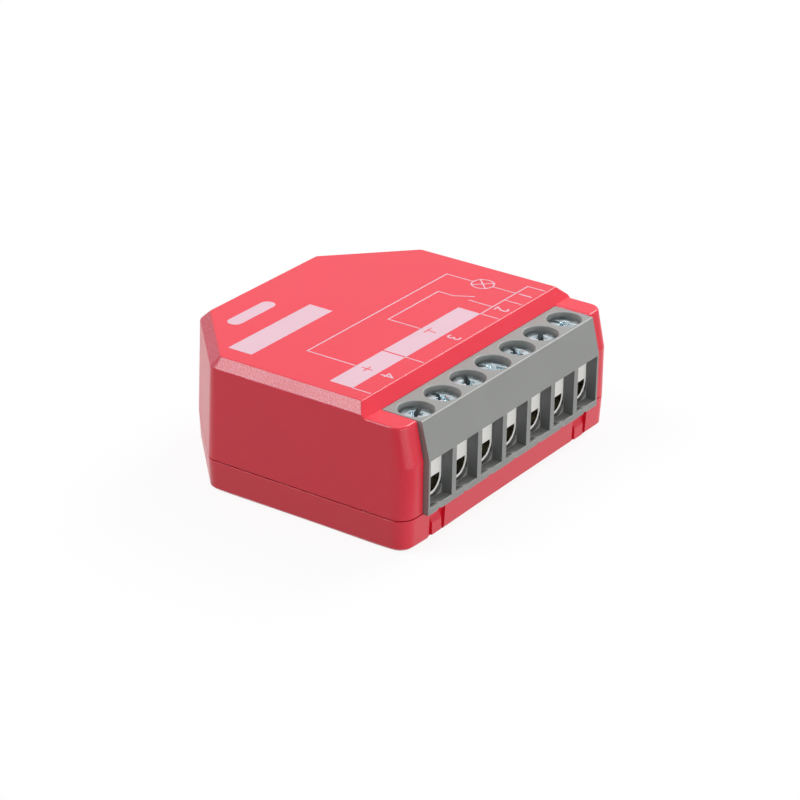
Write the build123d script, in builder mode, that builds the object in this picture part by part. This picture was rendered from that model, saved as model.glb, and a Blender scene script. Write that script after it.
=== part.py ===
from build123d import *
import math
import os

# Relay module for a wall box: a two-part plastic case with a seven-pole terminal block across
# its front, and the switching relay, supply and radio parts on one board inside.
# X runs along the terminals, -Y is the front where the wires enter, and Z is up.
# The origin is under the middle of the whole module, on the surface that it stands on.

os.makedirs("parts", exist_ok=True)

# Driving sizes of the terminals, which set the module's width
poles = 7
pitch = 5.0
block_overhang = 2.4
shoulder_width = 3.6

# Driving sizes of the case
depth = 37.0
height = 16.0
wall = 1.2
roof = 1.2
floor = 1.2
corner_cut_x = 10.2
corner_cut_y = 9.7
corner_radius = 2.0
tight_radius = 0.4
upper_draft = 0.35
lower_draft = 0.2
bevel_width = 1.2
bevel_height = 1.1
foot_chamfer = 0.3
crown_radius = 0.25
rim_radius = 0.35

# Joint between the two halves of the case
seam_height = 3.75
seam_gap = 0.12
seam_radius = 0.08
lip_height = 1.0
lip_thickness = 0.55
lip_clearance = 0.05

# Shoulder that the case drops to in front of its top face
shoulder_drop = 1.4
shoulder_length = 6.33
brow_slope = 1.17
brow_wall = 0.4
front_lean = 1.0

# Terminal block
block_proud = 0.6
block_top_drop = 0.1
block_base_drop = 0.25
rake_height = 4.5
rake_depth = 1.1
block_length = 7.5
block_rear_drop = 1.3
block_side_clearance = 0.05
rake_radius = 0.15
mouth_radius = 0.1
bay_wall = 1.0

# Wire entries, and the notch in each entry's floor
divider = 0.8
entry_depth = 1.35
entry_floor = 0.8
notch_lip = 0.4
notch_gap = 0.9
notch_shift = -0.05
notch_rise = 0.9

# Rising clamp cages, drawn at the bottom of their travel
cage_side_gap = 0.15
cage_length = 4.1
cage_head_thickness = 2.65
strap_thickness = 0.35
strap_drop = 2.15
clamp_travel = 1.45
cage_front_wall = 0.6

# Chambers that the cages ride in
chamber_side_gap = 0.07
chamber_floor = 0.85
chamber_corner = 1.2
chamber_front_gap = 0.05
chamber_back_gap = 0.1
chamber_foot_gap = 0.4
chamber_headroom = 0.1
ledge_thickness = 0.5

# Clamping screws
screw_setback = 3.5
head_diameter = 3.7
head_thickness = 2.3
head_edge = 0.25
driver_hole_clearance = 0.225
shank_diameter = 2.5
shank_clearance = 0.05
ledge_clearance = 0.1
tip_chamfer = 0.3
slot_width = 0.6
slot_depth = 1.0
cross_width = 0.75
cross_span = 2.3
cross_depth = 1.3
screw_turns = (20, 75, 48, 110, 64, 35, 92)

# Contact bars under the screws
bar_side_gap = 0.6
bar_thickness = 0.55
bar_clearance = 0.05
channel_side_gap = 0.08
channel_headroom = 0.1
tail_gap = 0.25
tail_thickness = 0.55
tail_width = 1.0
tail_slot = 0.1
tail_shoulder_drop = 2.55

# Latches in the lower half, under the block
latch_inset = 6.3
latch_window = 3.0
latch_recess = 0.55
latch_width = 1.8
latch_base = 0.2
latch_face = 1.4
latch_slope = 0.7
latch_shift = 0.1

# Main board
board_thickness = 1.0
board_clearance = 0.3
post_radius = 1.3
post_side = 2.2
post_front = 4.4
post_rear = 7.6
lead_clearance = 0.1
lead_length = 1.9
lead_radius = 0.3

# Relay, lying flat on the left of the board
relay_width = 15.4
relay_length = 18.8
relay_height = 10.2
relay_side_gap = 1.1
relay_front_gap = 0.7
relay_wall = 0.7
relay_base_thickness = 1.0
relay_base_gap = 0.05
coil_inset = 8.7
coil_setback = 3.8
coil_end_room = 8.8
coil_radius = 3.4
former_radius = 2.3
flange_thickness = 0.8
flange_width = 7.2
flange_rise = 0.25
core_radius = 1.5
core_fit = 0.05
core_stub = 0.35
yoke_thickness = 1.2
yoke_gap = 0.8
yoke_reach = 0.75
yoke_height = 6.6
yoke_rise = 0.5
armature_thickness = 1.0
armature_gap = 0.05
armature_length = 8.2
leaf_thickness = 0.2
leaf_width = 2.6
leaf_reach = 2.7
contact_radius = 0.9
contact_thickness = 0.7
contact_open = 0.65
contact_inset = 0.4
blade_gap = 0.05
blade_thickness = 0.5
blade_width = 1.9
blade_height = 6.0
relay_tail = 1.5
coil_pin = 0.6
coil_pin_height = 1.4

# Supply parts on the right of the board: sizes, then the gaps that place them
film_width = 13.0
film_depth = 5.0
film_height = 9.5
film_edge = 0.4
film_leads = 10.0
film_side_gap = 1.1
film_front_gap = 0.5
bulk_radius = 4.0
bulk_height = 9.5
bulk_leads = 3.5
bulk_side_gap = 1.2
bulk_film_gap = 2.5
smoothing_radius = 3.15
smoothing_height = 7.0
smoothing_leads = 2.5
smoothing_relay_gap = 7.15
smoothing_film_gap = 0.75
can_edge = 0.5
can_groove = 0.25
can_groove_height = 1.3
choke_radius = 2.9
choke_height = 6.8
choke_flange = 0.9
choke_post = 1.3
choke_wire_depth = 1.2
choke_leads = 3.0
choke_relay_gap = 2.1
choke_front_gap = 0.7
fuse_radius = 1.3
fuse_length = 6.5
fuse_lead = 1.2
fuse_relay_gap = 2.3
fuse_choke_gap = 0.85
varistor_radius = 3.5
varistor_thickness = 3.2
varistor_edge = 0.8
varistor_rise = 0.5
varistor_leads = 5.0
varistor_relay_gap = 3.3
varistor_fuse_gap = 3.35
rectifier_width = 4.8
rectifier_depth = 4.0
rectifier_height = 1.6
rectifier_relay_gap = 8.1
rectifier_can_gap = 1.35
chip_width = 4.9
chip_depth = 3.9
chip_height = 1.5
chip_side_gap = 3.95
chip_can_gap = 0.45
package_edge = 0.4

# Radio board, standing at the back
radio_width = 14.0
radio_height = 9.6
radio_thickness = 0.8
radio_shift = 2.5
radio_back_gap = 2.3
shield_width = 9.0
shield_height = 6.6
shield_depth = 1.6
shield_sheet = 0.2
shield_rise = 1.4
antenna_strip = 0.5
antenna_thickness = 0.1
antenna_span = 12.0
antenna_rise = 1.6
antenna_legs = 5

# Pairing button and status lamp at the back
button_width = 4.2
button_depth = 3.0
button_height = 3.6
button_x = 7.4
button_back_gap = 1.9
button_rise = 2.1
plunger_radius = 0.6
plunger_length = 0.75
plunger_flange = 0.95
plunger_flange_thickness = 0.5
plunger_stroke = 0.25
plunger_lip = 0.1
plunger_clearance = 0.05
pinhole_radius = 0.8
lamp_length = 1.6
lamp_width = 0.8
lamp_height = 0.7
lamp_x = 10.9
lamp_back_gap = 3.1

# One overrun serves every cut, and one tolerance picks edges by their place
over = 1.0
pick = 0.01

# Levels and places that follow from the sizes above
block_half = (poles - 1) * pitch / 2 + block_overhang
width = 2 * (block_half + shoulder_width)
case_back = depth / 2
block_front = -depth / 2
case_front = block_front + block_proud
bay_half = block_half + block_side_clearance
terminal_xs = [(pole - (poles - 1) / 2) * pitch for pole in range(poles)]
screw_y = block_front + screw_setback
block_base = seam_height - block_base_drop
block_back = block_front + block_length
shoulder_height = height - shoulder_drop
shoulder_back = block_front + shoulder_length
brow_front = shoulder_back + brow_slope
block_top = shoulder_height - block_top_drop
block_rear_top = block_top - block_rear_drop
knee_height = block_top - rake_height
board_top = block_base
board_base = board_top - board_thickness
upper_base = seam_height + seam_gap / 2
lower_top = seam_height - seam_gap / 2
lip_top = lower_top + lip_height
room_left = -width / 2 + wall
room_right = width / 2 - wall
room_back = case_back - wall


def case_outline(inset, front):
    """Returns the case's plan, moved inwards by inset, with its front edge at y = front."""
    side = width / 2 - inset
    back = case_back - inset
    cut = math.hypot(corner_cut_x, corner_cut_y)
    reach = corner_cut_y * width / 2 + corner_cut_x * (case_back - corner_cut_y) - inset * cut
    side_end = (reach - corner_cut_y * side) / corner_cut_x
    back_end = (reach - corner_cut_x * back) / corner_cut_y
    with BuildSketch() as outline:
        with BuildLine():
            FilletPolyline(
                (-side, front),
                (side, front),
                (side, side_end),
                (back_end, back),
                (-back_end, back),
                (-side, side_end),
                radius=max(corner_radius - inset, tight_radius),
                close=True,
            )
        make_face()
    return outline.sketch


# Upper half of the case: drafted walls, a bevelled top, and a bay for the terminal block
upper_height = height - upper_base
knee_inset = upper_draft * (knee_height - upper_base) / upper_height
bevel_base = height - bevel_height
bevel_inset = upper_draft * (bevel_base - upper_base) / upper_height
lean_slope = front_lean / (shoulder_height - knee_height)
bevel_front = case_front + lean_slope * (bevel_base - knee_height)
inner_top = height - roof
pocket_top = shoulder_height - roof
brow_back = brow_front + brow_wall
rebate_inset = wall - lip_thickness - lip_clearance
with BuildPart() as upper_shell:
    with BuildSketch(Plane.XY.offset(upper_base)):
        add(case_outline(0, case_front))
    with BuildSketch(Plane.XY.offset(knee_height)):
        add(case_outline(knee_inset, case_front))
    with BuildSketch(Plane.XY.offset(bevel_base)):
        add(case_outline(bevel_inset, bevel_front))
    with BuildSketch(Plane.XY.offset(height)):
        add(case_outline(bevel_inset + bevel_width, bevel_front + bevel_width))
    loft(ruled=True)
    fillet(upper_shell.edges().group_by(Axis.Z)[0], radius=seam_radius)
    # The step from the top face down to the shoulders
    with BuildSketch(Plane.YZ):
        with BuildLine():
            Polyline(
                (brow_front, height),
                (brow_front, height + over),
                (case_front - over, height + over),
                (case_front - over, shoulder_height),
                (shoulder_back, shoulder_height),
                close=True,
            )
        make_face()
    extrude(amount=width, both=True, mode=Mode.SUBTRACT)
    # Bay for the terminal block, low at the back where the brow covers the block
    with BuildSketch(Plane.XY.offset(upper_base)):
        with Locations((0, case_front)):
            Rectangle(2 * bay_half, 2 * (block_back - case_front))
    extrude(amount=block_rear_top + lip_clearance - upper_base, mode=Mode.SUBTRACT)
    with BuildSketch(Plane.XY.offset(upper_base)):
        with Locations((0, case_front)):
            Rectangle(2 * bay_half, 2 * (shoulder_back - case_front))
    extrude(amount=height - upper_base, mode=Mode.SUBTRACT)
    # Rounded edges: the crown's, then the shoulders' rims and the front edges of the bay
    crown = [
        edge
        for edge in upper_shell.edges()
        if edge.center().Z > bevel_base - pick
        and (edge.center().Y < brow_front - pick or edge.bounding_box().size.Z < pick)
    ]
    fillet(crown, radius=crown_radius)
    rims = [
        edge
        for edge in upper_shell.edges()
        if edge.center().Y < shoulder_back - pick and abs(edge.center().Z - shoulder_height) < pick
    ]
    bay_fronts = [
        edge
        for edge in upper_shell.edges()
        if edge.center().Y < case_front + front_lean and abs(edge.center().X) < bay_half + pick
    ]
    fillet(rims + bay_fronts, radius=rim_radius)
    # Room inside, with a pocket in each front corner beside the bay
    with BuildSketch(Plane.XY.offset(upper_base)):
        add(case_outline(wall + knee_inset, case_front + wall))
        with Locations((0, case_front)):
            Rectangle(2 * (bay_half + bay_wall), 2 * (block_back - case_front), mode=Mode.SUBTRACT)
    extrude(amount=pocket_top - upper_base, mode=Mode.SUBTRACT)
    with BuildSketch(Plane.XY.offset(pocket_top)):
        add(case_outline(wall + bevel_inset, brow_back))
    extrude(amount=inner_top - pocket_top, mode=Mode.SUBTRACT)
    # Rebate that the lower half's lip stands in
    with BuildSketch(Plane.XY.offset(upper_base)):
        add(case_outline(rebate_inset, case_front + rebate_inset))
        with Locations((0, case_front)):
            Rectangle(2 * (bay_half + bay_wall), 2 * (block_back - case_front), mode=Mode.SUBTRACT)
    extrude(amount=lip_top + lip_clearance - upper_base, mode=Mode.SUBTRACT)
    # Pinhole in the back for the pairing button
    with BuildSketch(Plane.XZ.offset(-case_back - over)):
        with Locations((button_x, board_top + button_rise)):
            Circle(pinhole_radius)
    extrude(amount=wall + bevel_inset + 2 * over, mode=Mode.SUBTRACT)
upper_shell.part.label = "upper_shell"
export_step(upper_shell.part, "parts/upper_shell.step")

# Lower half of the case: a shallow tray with a lip, board posts and two latches
front_wall_top = block_base - lip_clearance
latch_place = width / 2 - latch_inset
post_places = [
    (-width / 2 + wall + post_side, case_front + wall + post_front),
    (width / 2 - wall - post_side, case_front + wall + post_front),
    (-width / 2 + corner_cut_x + post_side, case_back - wall - post_side),
    (width / 2 - corner_cut_x - post_side, case_back - wall - post_side),
    (-width / 2 + wall + post_side, case_back - corner_cut_y - post_rear),
    (width / 2 - wall - post_side, case_back - corner_cut_y - post_rear),
]
with BuildPart() as lower_shell:
    with BuildSketch(Plane.XY):
        add(case_outline(lower_draft, case_front + lower_draft))
    with BuildSketch(Plane.XY.offset(lower_top)):
        add(case_outline(0, case_front))
    loft(ruled=True)
    fillet(lower_shell.edges().group_by(Axis.Z)[-1], radius=seam_radius)
    chamfer(lower_shell.faces().sort_by(Axis.Z)[0].edges(), length=foot_chamfer)
    with BuildSketch(Plane.XY.offset(lower_top)):
        add(case_outline(wall - lip_thickness, case_front + wall - lip_thickness))
    extrude(amount=lip_height)
    with BuildSketch(Plane.XY.offset(floor)):
        add(case_outline(wall, case_front + wall))
    extrude(amount=height, mode=Mode.SUBTRACT)
    # The front is cut down so that the terminal block stands on it, between the bay walls
    with BuildSketch(Plane.XY.offset(lower_top)):
        with Locations((0, case_front)):
            Rectangle(2 * (bay_half + bay_wall + lip_clearance), 2 * (block_back - case_front))
    extrude(amount=height, mode=Mode.SUBTRACT)
    with BuildSketch(Plane.XY.offset(front_wall_top)):
        with Locations((0, case_front)):
            Rectangle(2 * block_half, 2 * wall + 2 * over)
    extrude(amount=height, mode=Mode.SUBTRACT)
    # Posts under the board
    with BuildSketch(Plane.XY.offset(floor)):
        with Locations(*post_places):
            Circle(post_radius)
    extrude(amount=board_base - floor)
    # A recess at each end of the front wall, with a wedge-shaped latch standing in it
    with BuildSketch(Plane.XY.offset(-over)):
        with Locations((-latch_place, case_front), (latch_place, case_front)):
            Rectangle(latch_window, 2 * latch_recess)
    extrude(amount=front_wall_top + 2 * over, mode=Mode.SUBTRACT)
    for side in (-1, 1):
        latch_x = side * latch_place + latch_shift
        with BuildSketch(Plane.YZ.offset(latch_x - latch_width / 2)):
            with BuildLine():
                Polyline(
                    (case_front + latch_recess, latch_base),
                    (case_front + lower_draft, latch_base),
                    (case_front + lower_draft, latch_base + latch_face),
                    (case_front + latch_recess, latch_base + latch_face + latch_slope),
                    close=True,
                )
            make_face()
        extrude(amount=latch_width)
lower_shell.part.label = "lower_shell"
export_step(lower_shell.part, "parts/lower_shell.step")

# Terminal block: a grey moulding with seven wire entries, clamp chambers and driver holes
entry_width = pitch - divider
cage_width = entry_width - 2 * cage_side_gap
chamber_width = cage_width + 2 * chamber_side_gap
chamber_front = block_front + entry_depth
cage_front = chamber_front + chamber_front_gap
chamber_back = cage_front + cage_length + chamber_back_gap
entry_base = block_base + entry_floor
chamber_base = block_base + chamber_floor
cage_foot = chamber_base + chamber_foot_gap
strap_centre = cage_foot + cage_width / 2
cage_head_base = cage_foot + strap_drop
cage_top = cage_head_base + cage_head_thickness
chamber_top = cage_top + clamp_travel + chamber_headroom
head_seat = chamber_top + ledge_thickness
head_top = head_seat + head_thickness
bar_width = cage_width - 2 * (strap_thickness + bar_side_gap)
bar_front = cage_front + cage_front_wall + bar_clearance
bar_base = cage_head_base + bar_clearance
bar_top = bar_base + bar_thickness
tail_front = chamber_back + tail_gap
tail_back = tail_front + tail_thickness
tail_shoulder = bar_base - tail_shoulder_drop
lead_end = board_top - lead_length
with BuildPart() as terminal_housing:
    with BuildSketch(Plane.YZ.offset(-block_half)):
        with BuildLine():
            Polyline(
                (block_front, block_base),
                (block_front, knee_height),
                (block_front + rake_depth, block_top),
                (shoulder_back, block_top),
                (shoulder_back, block_rear_top),
                (block_back, block_rear_top),
                (block_back, block_base),
                close=True,
            )
        make_face()
    extrude(amount=2 * block_half)
    rake_tops = terminal_housing.edges().filter_by(Axis.X).group_by(Axis.Z)[-1].sort_by(Axis.Y)
    fillet(rake_tops[0], radius=rake_radius)
    # Wire entries in the front
    with BuildSketch(Plane.XZ.offset(-block_front)):
        with Locations(*[(x, (entry_base + knee_height) / 2) for x in terminal_xs]):
            Rectangle(entry_width, knee_height - entry_base)
    extrude(amount=-entry_depth, mode=Mode.SUBTRACT)
    # Chambers with rounded bottom corners, where the cages ride
    with BuildSketch(Plane.XZ.offset(-chamber_front)):
        with Locations(*[(x, (chamber_base + chamber_top) / 2) for x in terminal_xs]):
            Rectangle(chamber_width, chamber_top - chamber_base)
        fillet(vertices().group_by(Axis.Y)[0], radius=chamber_corner)
    extrude(amount=chamber_front - chamber_back, mode=Mode.SUBTRACT)
    # Driver holes down to the ledge, and shank holes through it
    with BuildSketch(Plane.XY.offset(head_seat)):
        with Locations(*[(x, screw_y) for x in terminal_xs]):
            Circle(head_diameter / 2 + driver_hole_clearance)
    extrude(amount=height, mode=Mode.SUBTRACT)
    with BuildSketch(Plane.XY.offset(chamber_base)):
        with Locations(*[(x, screw_y) for x in terminal_xs]):
            Circle(shank_diameter / 2 + ledge_clearance)
    extrude(amount=height - chamber_base, mode=Mode.SUBTRACT)
    # Slots behind the chambers for the contact bars' tails
    slot_front = chamber_back - tail_slot
    slot_back = tail_back + tail_slot
    with BuildSketch(Plane.XY.offset(block_base)):
        with Locations(*[(x, (slot_front + slot_back) / 2) for x in terminal_xs]):
            Rectangle(bar_width + 2 * tail_slot, slot_back - slot_front)
    extrude(amount=bar_top + tail_slot - block_base, mode=Mode.SUBTRACT)
    # A notch through the floor of each entry, behind a short lip at its left
    for x in terminal_xs:
        notch_left = x - entry_width / 2
        notch_right = x + notch_shift + notch_gap / 2
        with BuildSketch(Plane.XY.offset(block_base)):
            with BuildLine():
                Polyline(
                    (notch_right - notch_gap, block_front),
                    (notch_right - notch_gap, block_front + notch_lip),
                    (notch_left, block_front + notch_lip),
                    (notch_left, block_front + notch_lip + notch_rise),
                    (notch_right, block_front),
                    close=True,
                )
            make_face()
        extrude(amount=entry_floor, mode=Mode.SUBTRACT)
    # Fine rounding on the mouths of the driver holes and on the front edges below the knee
    fillet(terminal_housing.edges().filter_by(GeomType.CIRCLE).group_by(Axis.Z)[-1], radius=mouth_radius)
    front_edges = [
        edge
        for edge in terminal_housing.edges()
        if edge.bounding_box().max.Y < block_front + pick and edge.center().Z < knee_height - pick
    ]
    fillet(front_edges, radius=mouth_radius)

# The block is cut into its seven poles, face to face, and the end poles keep the end walls
for number, x in enumerate(terminal_xs, start=1):
    pole_left = -block_half if number == 1 else x - pitch / 2
    pole_right = block_half if number == len(terminal_xs) else x + pitch / 2
    with BuildPart() as terminal_pole:
        add(terminal_housing.part)
        with BuildSketch(Plane.YZ.offset(pole_left)):
            Rectangle(2 * depth, 2 * height)
        extrude(amount=pole_right - pole_left, mode=Mode.INTERSECT)
    terminal_pole.part.label = f"terminal_pole_{number}"
    export_step(terminal_pole.part, f"parts/terminal_pole_{number}.step")

# Screws, clamp cages and contact bars, one set for each pole
channel_height = bar_clearance + bar_thickness + channel_headroom
for number, x in enumerate(terminal_xs, start=1):
    with BuildPart() as clamp_screw:
        with BuildSketch(Plane.XY.offset(head_seat)):
            with Locations((x, screw_y)):
                Circle(head_diameter / 2)
        extrude(amount=head_thickness)
        chamfer(clamp_screw.edges().sort_by(Axis.Z)[-1], length=head_edge)
        with BuildSketch(Plane.XY.offset(bar_top + bar_clearance)):
            with Locations((x, screw_y)):
                Circle(shank_diameter / 2)
        extrude(amount=head_seat - bar_top - bar_clearance)
        chamfer(clamp_screw.edges().sort_by(Axis.Z)[0], length=tip_chamfer)
        turn = screw_turns[number - 1]
        with BuildSketch(Plane.XY.offset(head_top)):
            with Locations(Location((x, screw_y, 0), turn)):
                Rectangle(head_diameter + over, slot_width)
        extrude(amount=-slot_depth, mode=Mode.SUBTRACT)
        with BuildSketch(Plane.XY.offset(head_top)):
            with Locations(Location((x, screw_y, 0), turn)):
                Rectangle(cross_span, cross_width)
                Rectangle(cross_width, cross_span)
        extrude(amount=-cross_depth, mode=Mode.SUBTRACT)
    clamp_screw.part.label = f"clamp_screw_{number}"
    export_step(clamp_screw.part, f"parts/clamp_screw_{number}.step")

    with BuildPart() as clamp_cage:
        with BuildSketch(Plane.XZ.offset(-cage_front)):
            with Locations((x, strap_centre)):
                Circle(cage_width / 2)
            with Locations((x, (strap_centre + cage_top) / 2)):
                Rectangle(cage_width, cage_top - strap_centre)
            with Locations((x, strap_centre)):
                Circle(cage_width / 2 - strap_thickness, mode=Mode.SUBTRACT)
            with Locations((x, cage_head_base + cage_head_thickness / 2)):
                Rectangle(cage_width, cage_head_thickness)
        extrude(amount=-cage_length)
        # Channel in the head for the contact bar, closed at the front
        with BuildSketch(Plane.XZ.offset(-cage_front - cage_front_wall)):
            with Locations((x, cage_head_base + channel_height / 2)):
                Rectangle(bar_width + 2 * channel_side_gap, channel_height)
        extrude(amount=-cage_length, mode=Mode.SUBTRACT)
        with BuildSketch(Plane.XY.offset(cage_head_base)):
            with Locations((x, screw_y)):
                Circle(shank_diameter / 2 + shank_clearance)
        extrude(amount=cage_head_thickness, mode=Mode.SUBTRACT)
    clamp_cage.part.label = f"clamp_cage_{number}"
    export_step(clamp_cage.part, f"parts/clamp_cage_{number}.step")

    with BuildPart() as contact_bar:
        with BuildSketch(Plane.YZ.offset(x - bar_width / 2)):
            with BuildLine():
                Polyline(
                    (bar_front, bar_base),
                    (bar_front, bar_top),
                    (tail_back, bar_top),
                    (tail_back, tail_shoulder),
                    (tail_front, tail_shoulder),
                    (tail_front, bar_base),
                    close=True,
                )
            make_face()
        extrude(amount=bar_width)
        with BuildSketch(Plane.XY.offset(lead_end)):
            with Locations((x, (tail_front + tail_back) / 2)):
                Rectangle(tail_width, tail_thickness)
        extrude(amount=tail_shoulder - lead_end)
    contact_bar.part.label = f"contact_bar_{number}"
    export_step(contact_bar.part, f"parts/contact_bar_{number}.step")

# Places of the relay's parts, and of the leads that pass through the board
relay_left = room_left + relay_side_gap
relay_right = relay_left + relay_width
relay_front = block_back + relay_front_gap
relay_back = relay_front + relay_length
relay_x = (relay_left + relay_right) / 2
relay_y = (relay_front + relay_back) / 2
relay_base_top = board_top + relay_base_thickness
coil_x = relay_left + coil_inset
coil_z = relay_base_top + flange_rise + flange_width / 2
coil_length = relay_length - coil_end_room
coil_front = relay_front + coil_setback
coil_back = coil_front + coil_length
core_face = coil_front - flange_thickness - core_stub
yoke_front = coil_front - flange_thickness - yoke_reach
yoke_back = coil_back + flange_thickness + yoke_thickness
yoke_right = coil_x + flange_width / 2
yoke_left = coil_x - flange_width / 2 - yoke_gap - yoke_thickness
yoke_base = relay_base_top + yoke_rise
armature_back = yoke_front - armature_gap
armature_front = armature_back - armature_thickness
armature_right = yoke_left + armature_length
moving_face = armature_back - contact_inset
fixed_face = moving_face + contact_open
blade_x = yoke_right + blade_gap + blade_width / 2
blade_y = fixed_face + contact_thickness + blade_thickness / 2
coil_pin_y = relay_back - relay_wall - coil_pin
film_x = room_right - film_side_gap - film_width / 2
film_y = block_back + film_front_gap + film_depth / 2
film_back = film_y + film_depth / 2
bulk_x = room_right - bulk_side_gap - bulk_radius
bulk_y = film_back + bulk_film_gap + bulk_radius
smoothing_x = relay_right + smoothing_relay_gap + smoothing_radius
smoothing_y = film_back + smoothing_film_gap + smoothing_radius
choke_x = relay_right + choke_relay_gap + choke_radius
choke_y = block_back + choke_front_gap + choke_radius
fuse_x = relay_right + fuse_relay_gap + fuse_radius
fuse_reach = fuse_length / 2 + fuse_lead
fuse_y = choke_y + choke_radius + fuse_choke_gap + fuse_reach
varistor_x = relay_right + varistor_relay_gap + varistor_thickness / 2
varistor_y = fuse_y + fuse_reach + varistor_fuse_gap
rectifier_x = relay_right + rectifier_relay_gap + rectifier_width / 2
rectifier_y = smoothing_y + smoothing_radius + rectifier_can_gap + rectifier_depth / 2
chip_x = room_right - chip_side_gap - chip_width / 2
chip_y = bulk_y + bulk_radius + chip_can_gap + chip_depth / 2
relay_tails = [(coil_x, yoke_back - yoke_thickness / 2), (blade_x, blade_y)]
coil_pins = [(coil_x - flange_width / 2, coil_pin_y), (coil_x + flange_width / 2, coil_pin_y)]
film_holes = [(film_x + side * film_leads / 2, film_y) for side in (-1, 1)]
bulk_holes = [(bulk_x, bulk_y + side * bulk_leads / 2) for side in (-1, 1)]
smoothing_holes = [(smoothing_x, smoothing_y + side * smoothing_leads / 2) for side in (-1, 1)]
varistor_holes = [(varistor_x, varistor_y + side * varistor_leads / 2) for side in (-1, 1)]
choke_holes = [(choke_x + side * choke_leads / 2, choke_y) for side in (-1, 1)]
fuse_holes = [(fuse_x, fuse_y + side * fuse_reach) for side in (-1, 1)]
round_holes = film_holes + bulk_holes + smoothing_holes + varistor_holes + choke_holes + fuse_holes

# Main board, with slots for the bars and holes for the leads
with BuildPart() as main_board:
    with BuildSketch(Plane.XY.offset(board_base)):
        add(case_outline(wall + board_clearance, case_front + wall + board_clearance))
        with Locations(*[(x, (tail_front + tail_back) / 2) for x in terminal_xs]):
            Rectangle(tail_width + lead_clearance, tail_thickness + lead_clearance, mode=Mode.SUBTRACT)
        with Locations(*relay_tails):
            Rectangle(relay_tail + lead_clearance, yoke_thickness + lead_clearance, mode=Mode.SUBTRACT)
        with Locations(*coil_pins):
            Rectangle(coil_pin + lead_clearance, coil_pin + lead_clearance, mode=Mode.SUBTRACT)
        with Locations(*round_holes):
            Circle(lead_radius + lead_clearance / 2, mode=Mode.SUBTRACT)
    extrude(amount=board_thickness)
main_board.part.label = "main_board"
export_step(main_board.part, "parts/main_board.step")

# Relay base and cover
with BuildPart() as relay_base:
    with BuildSketch(Plane.XY.offset(board_top)):
        with Locations((relay_x, relay_y)):
            Rectangle(
                relay_width - 2 * relay_wall - 2 * relay_base_gap,
                relay_length - 2 * relay_wall - 2 * relay_base_gap,
            )
        with Locations(*relay_tails):
            Rectangle(relay_tail + lead_clearance, yoke_thickness + lead_clearance, mode=Mode.SUBTRACT)
        with Locations(*coil_pins):
            Rectangle(coil_pin + lead_clearance, coil_pin + lead_clearance, mode=Mode.SUBTRACT)
    extrude(amount=relay_base_thickness)
relay_base.part.label = "relay_base"
export_step(relay_base.part, "parts/relay_base.step")

with BuildPart() as relay_cover:
    with BuildSketch(Plane.XY.offset(board_top)):
        with Locations((relay_x, relay_y)):
            Rectangle(relay_width, relay_length)
    extrude(amount=relay_height)
    fillet(relay_cover.edges().filter_by(Axis.Z), radius=relay_wall)
    with BuildSketch(Plane.XY.offset(board_top)):
        with Locations((relay_x, relay_y)):
            Rectangle(relay_width - 2 * relay_wall, relay_length - 2 * relay_wall)
    extrude(amount=relay_height - relay_wall, mode=Mode.SUBTRACT)
relay_cover.part.label = "relay_cover"
export_step(relay_cover.part, "parts/relay_cover.step")

# Relay coil: former, winding and core, all about one axis along Y
with BuildPart() as relay_bobbin:
    with BuildSketch(Plane.XZ.offset(flange_thickness - coil_front)):
        with Locations((coil_x, coil_z)):
            Rectangle(flange_width, flange_width)
    extrude(amount=-flange_thickness)
    with BuildSketch(Plane.XZ.offset(-coil_back)):
        with Locations((coil_x, coil_z)):
            Rectangle(flange_width, flange_width)
    extrude(amount=-flange_thickness)
    with BuildSketch(Plane.XZ.offset(-coil_front)):
        with Locations((coil_x, coil_z)):
            Circle(former_radius)
    extrude(amount=-coil_length)
    with BuildSketch(Plane.XZ.offset(flange_thickness - coil_front)):
        with Locations((coil_x, coil_z)):
            Circle(core_radius + core_fit)
    extrude(amount=-coil_length - 2 * flange_thickness, mode=Mode.SUBTRACT)
relay_bobbin.part.label = "relay_bobbin"
export_step(relay_bobbin.part, "parts/relay_bobbin.step")

with BuildPart() as relay_winding:
    with BuildSketch(Plane.XZ.offset(-coil_front)):
        with Locations((coil_x, coil_z)):
            Circle(coil_radius)
            Circle(former_radius, mode=Mode.SUBTRACT)
    extrude(amount=-coil_length)
relay_winding.part.label = "relay_winding"
export_step(relay_winding.part, "parts/relay_winding.step")

with BuildPart() as relay_core:
    with BuildSketch(Plane.XZ.offset(-core_face)):
        with Locations((coil_x, coil_z)):
            Circle(core_radius)
    extrude(amount=core_face - yoke_back)
relay_core.part.label = "relay_core"
export_step(relay_core.part, "parts/relay_core.step")

# Yoke: a side plate along the coil, a back plate that holds the core, and a tail to the board
with BuildPart() as relay_yoke:
    with BuildSketch(Plane.XY.offset(yoke_base)):
        with BuildLine():
            Polyline(
                (yoke_left, yoke_front),
                (yoke_left + yoke_thickness, yoke_front),
                (yoke_left + yoke_thickness, yoke_back - yoke_thickness),
                (yoke_right, yoke_back - yoke_thickness),
                (yoke_right, yoke_back),
                (yoke_left, yoke_back),
                close=True,
            )
        make_face()
    extrude(amount=yoke_height)
    with BuildSketch(Plane.XZ.offset(-yoke_back + yoke_thickness)):
        with Locations((coil_x, coil_z)):
            Circle(core_radius + core_fit)
    extrude(amount=-yoke_thickness, mode=Mode.SUBTRACT)
    with BuildSketch(Plane.XY.offset(lead_end)):
        with Locations(relay_tails[0]):
            Rectangle(relay_tail, yoke_thickness)
    extrude(amount=yoke_base - lead_end)
relay_yoke.part.label = "relay_yoke"
export_step(relay_yoke.part, "parts/relay_yoke.step")

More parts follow.
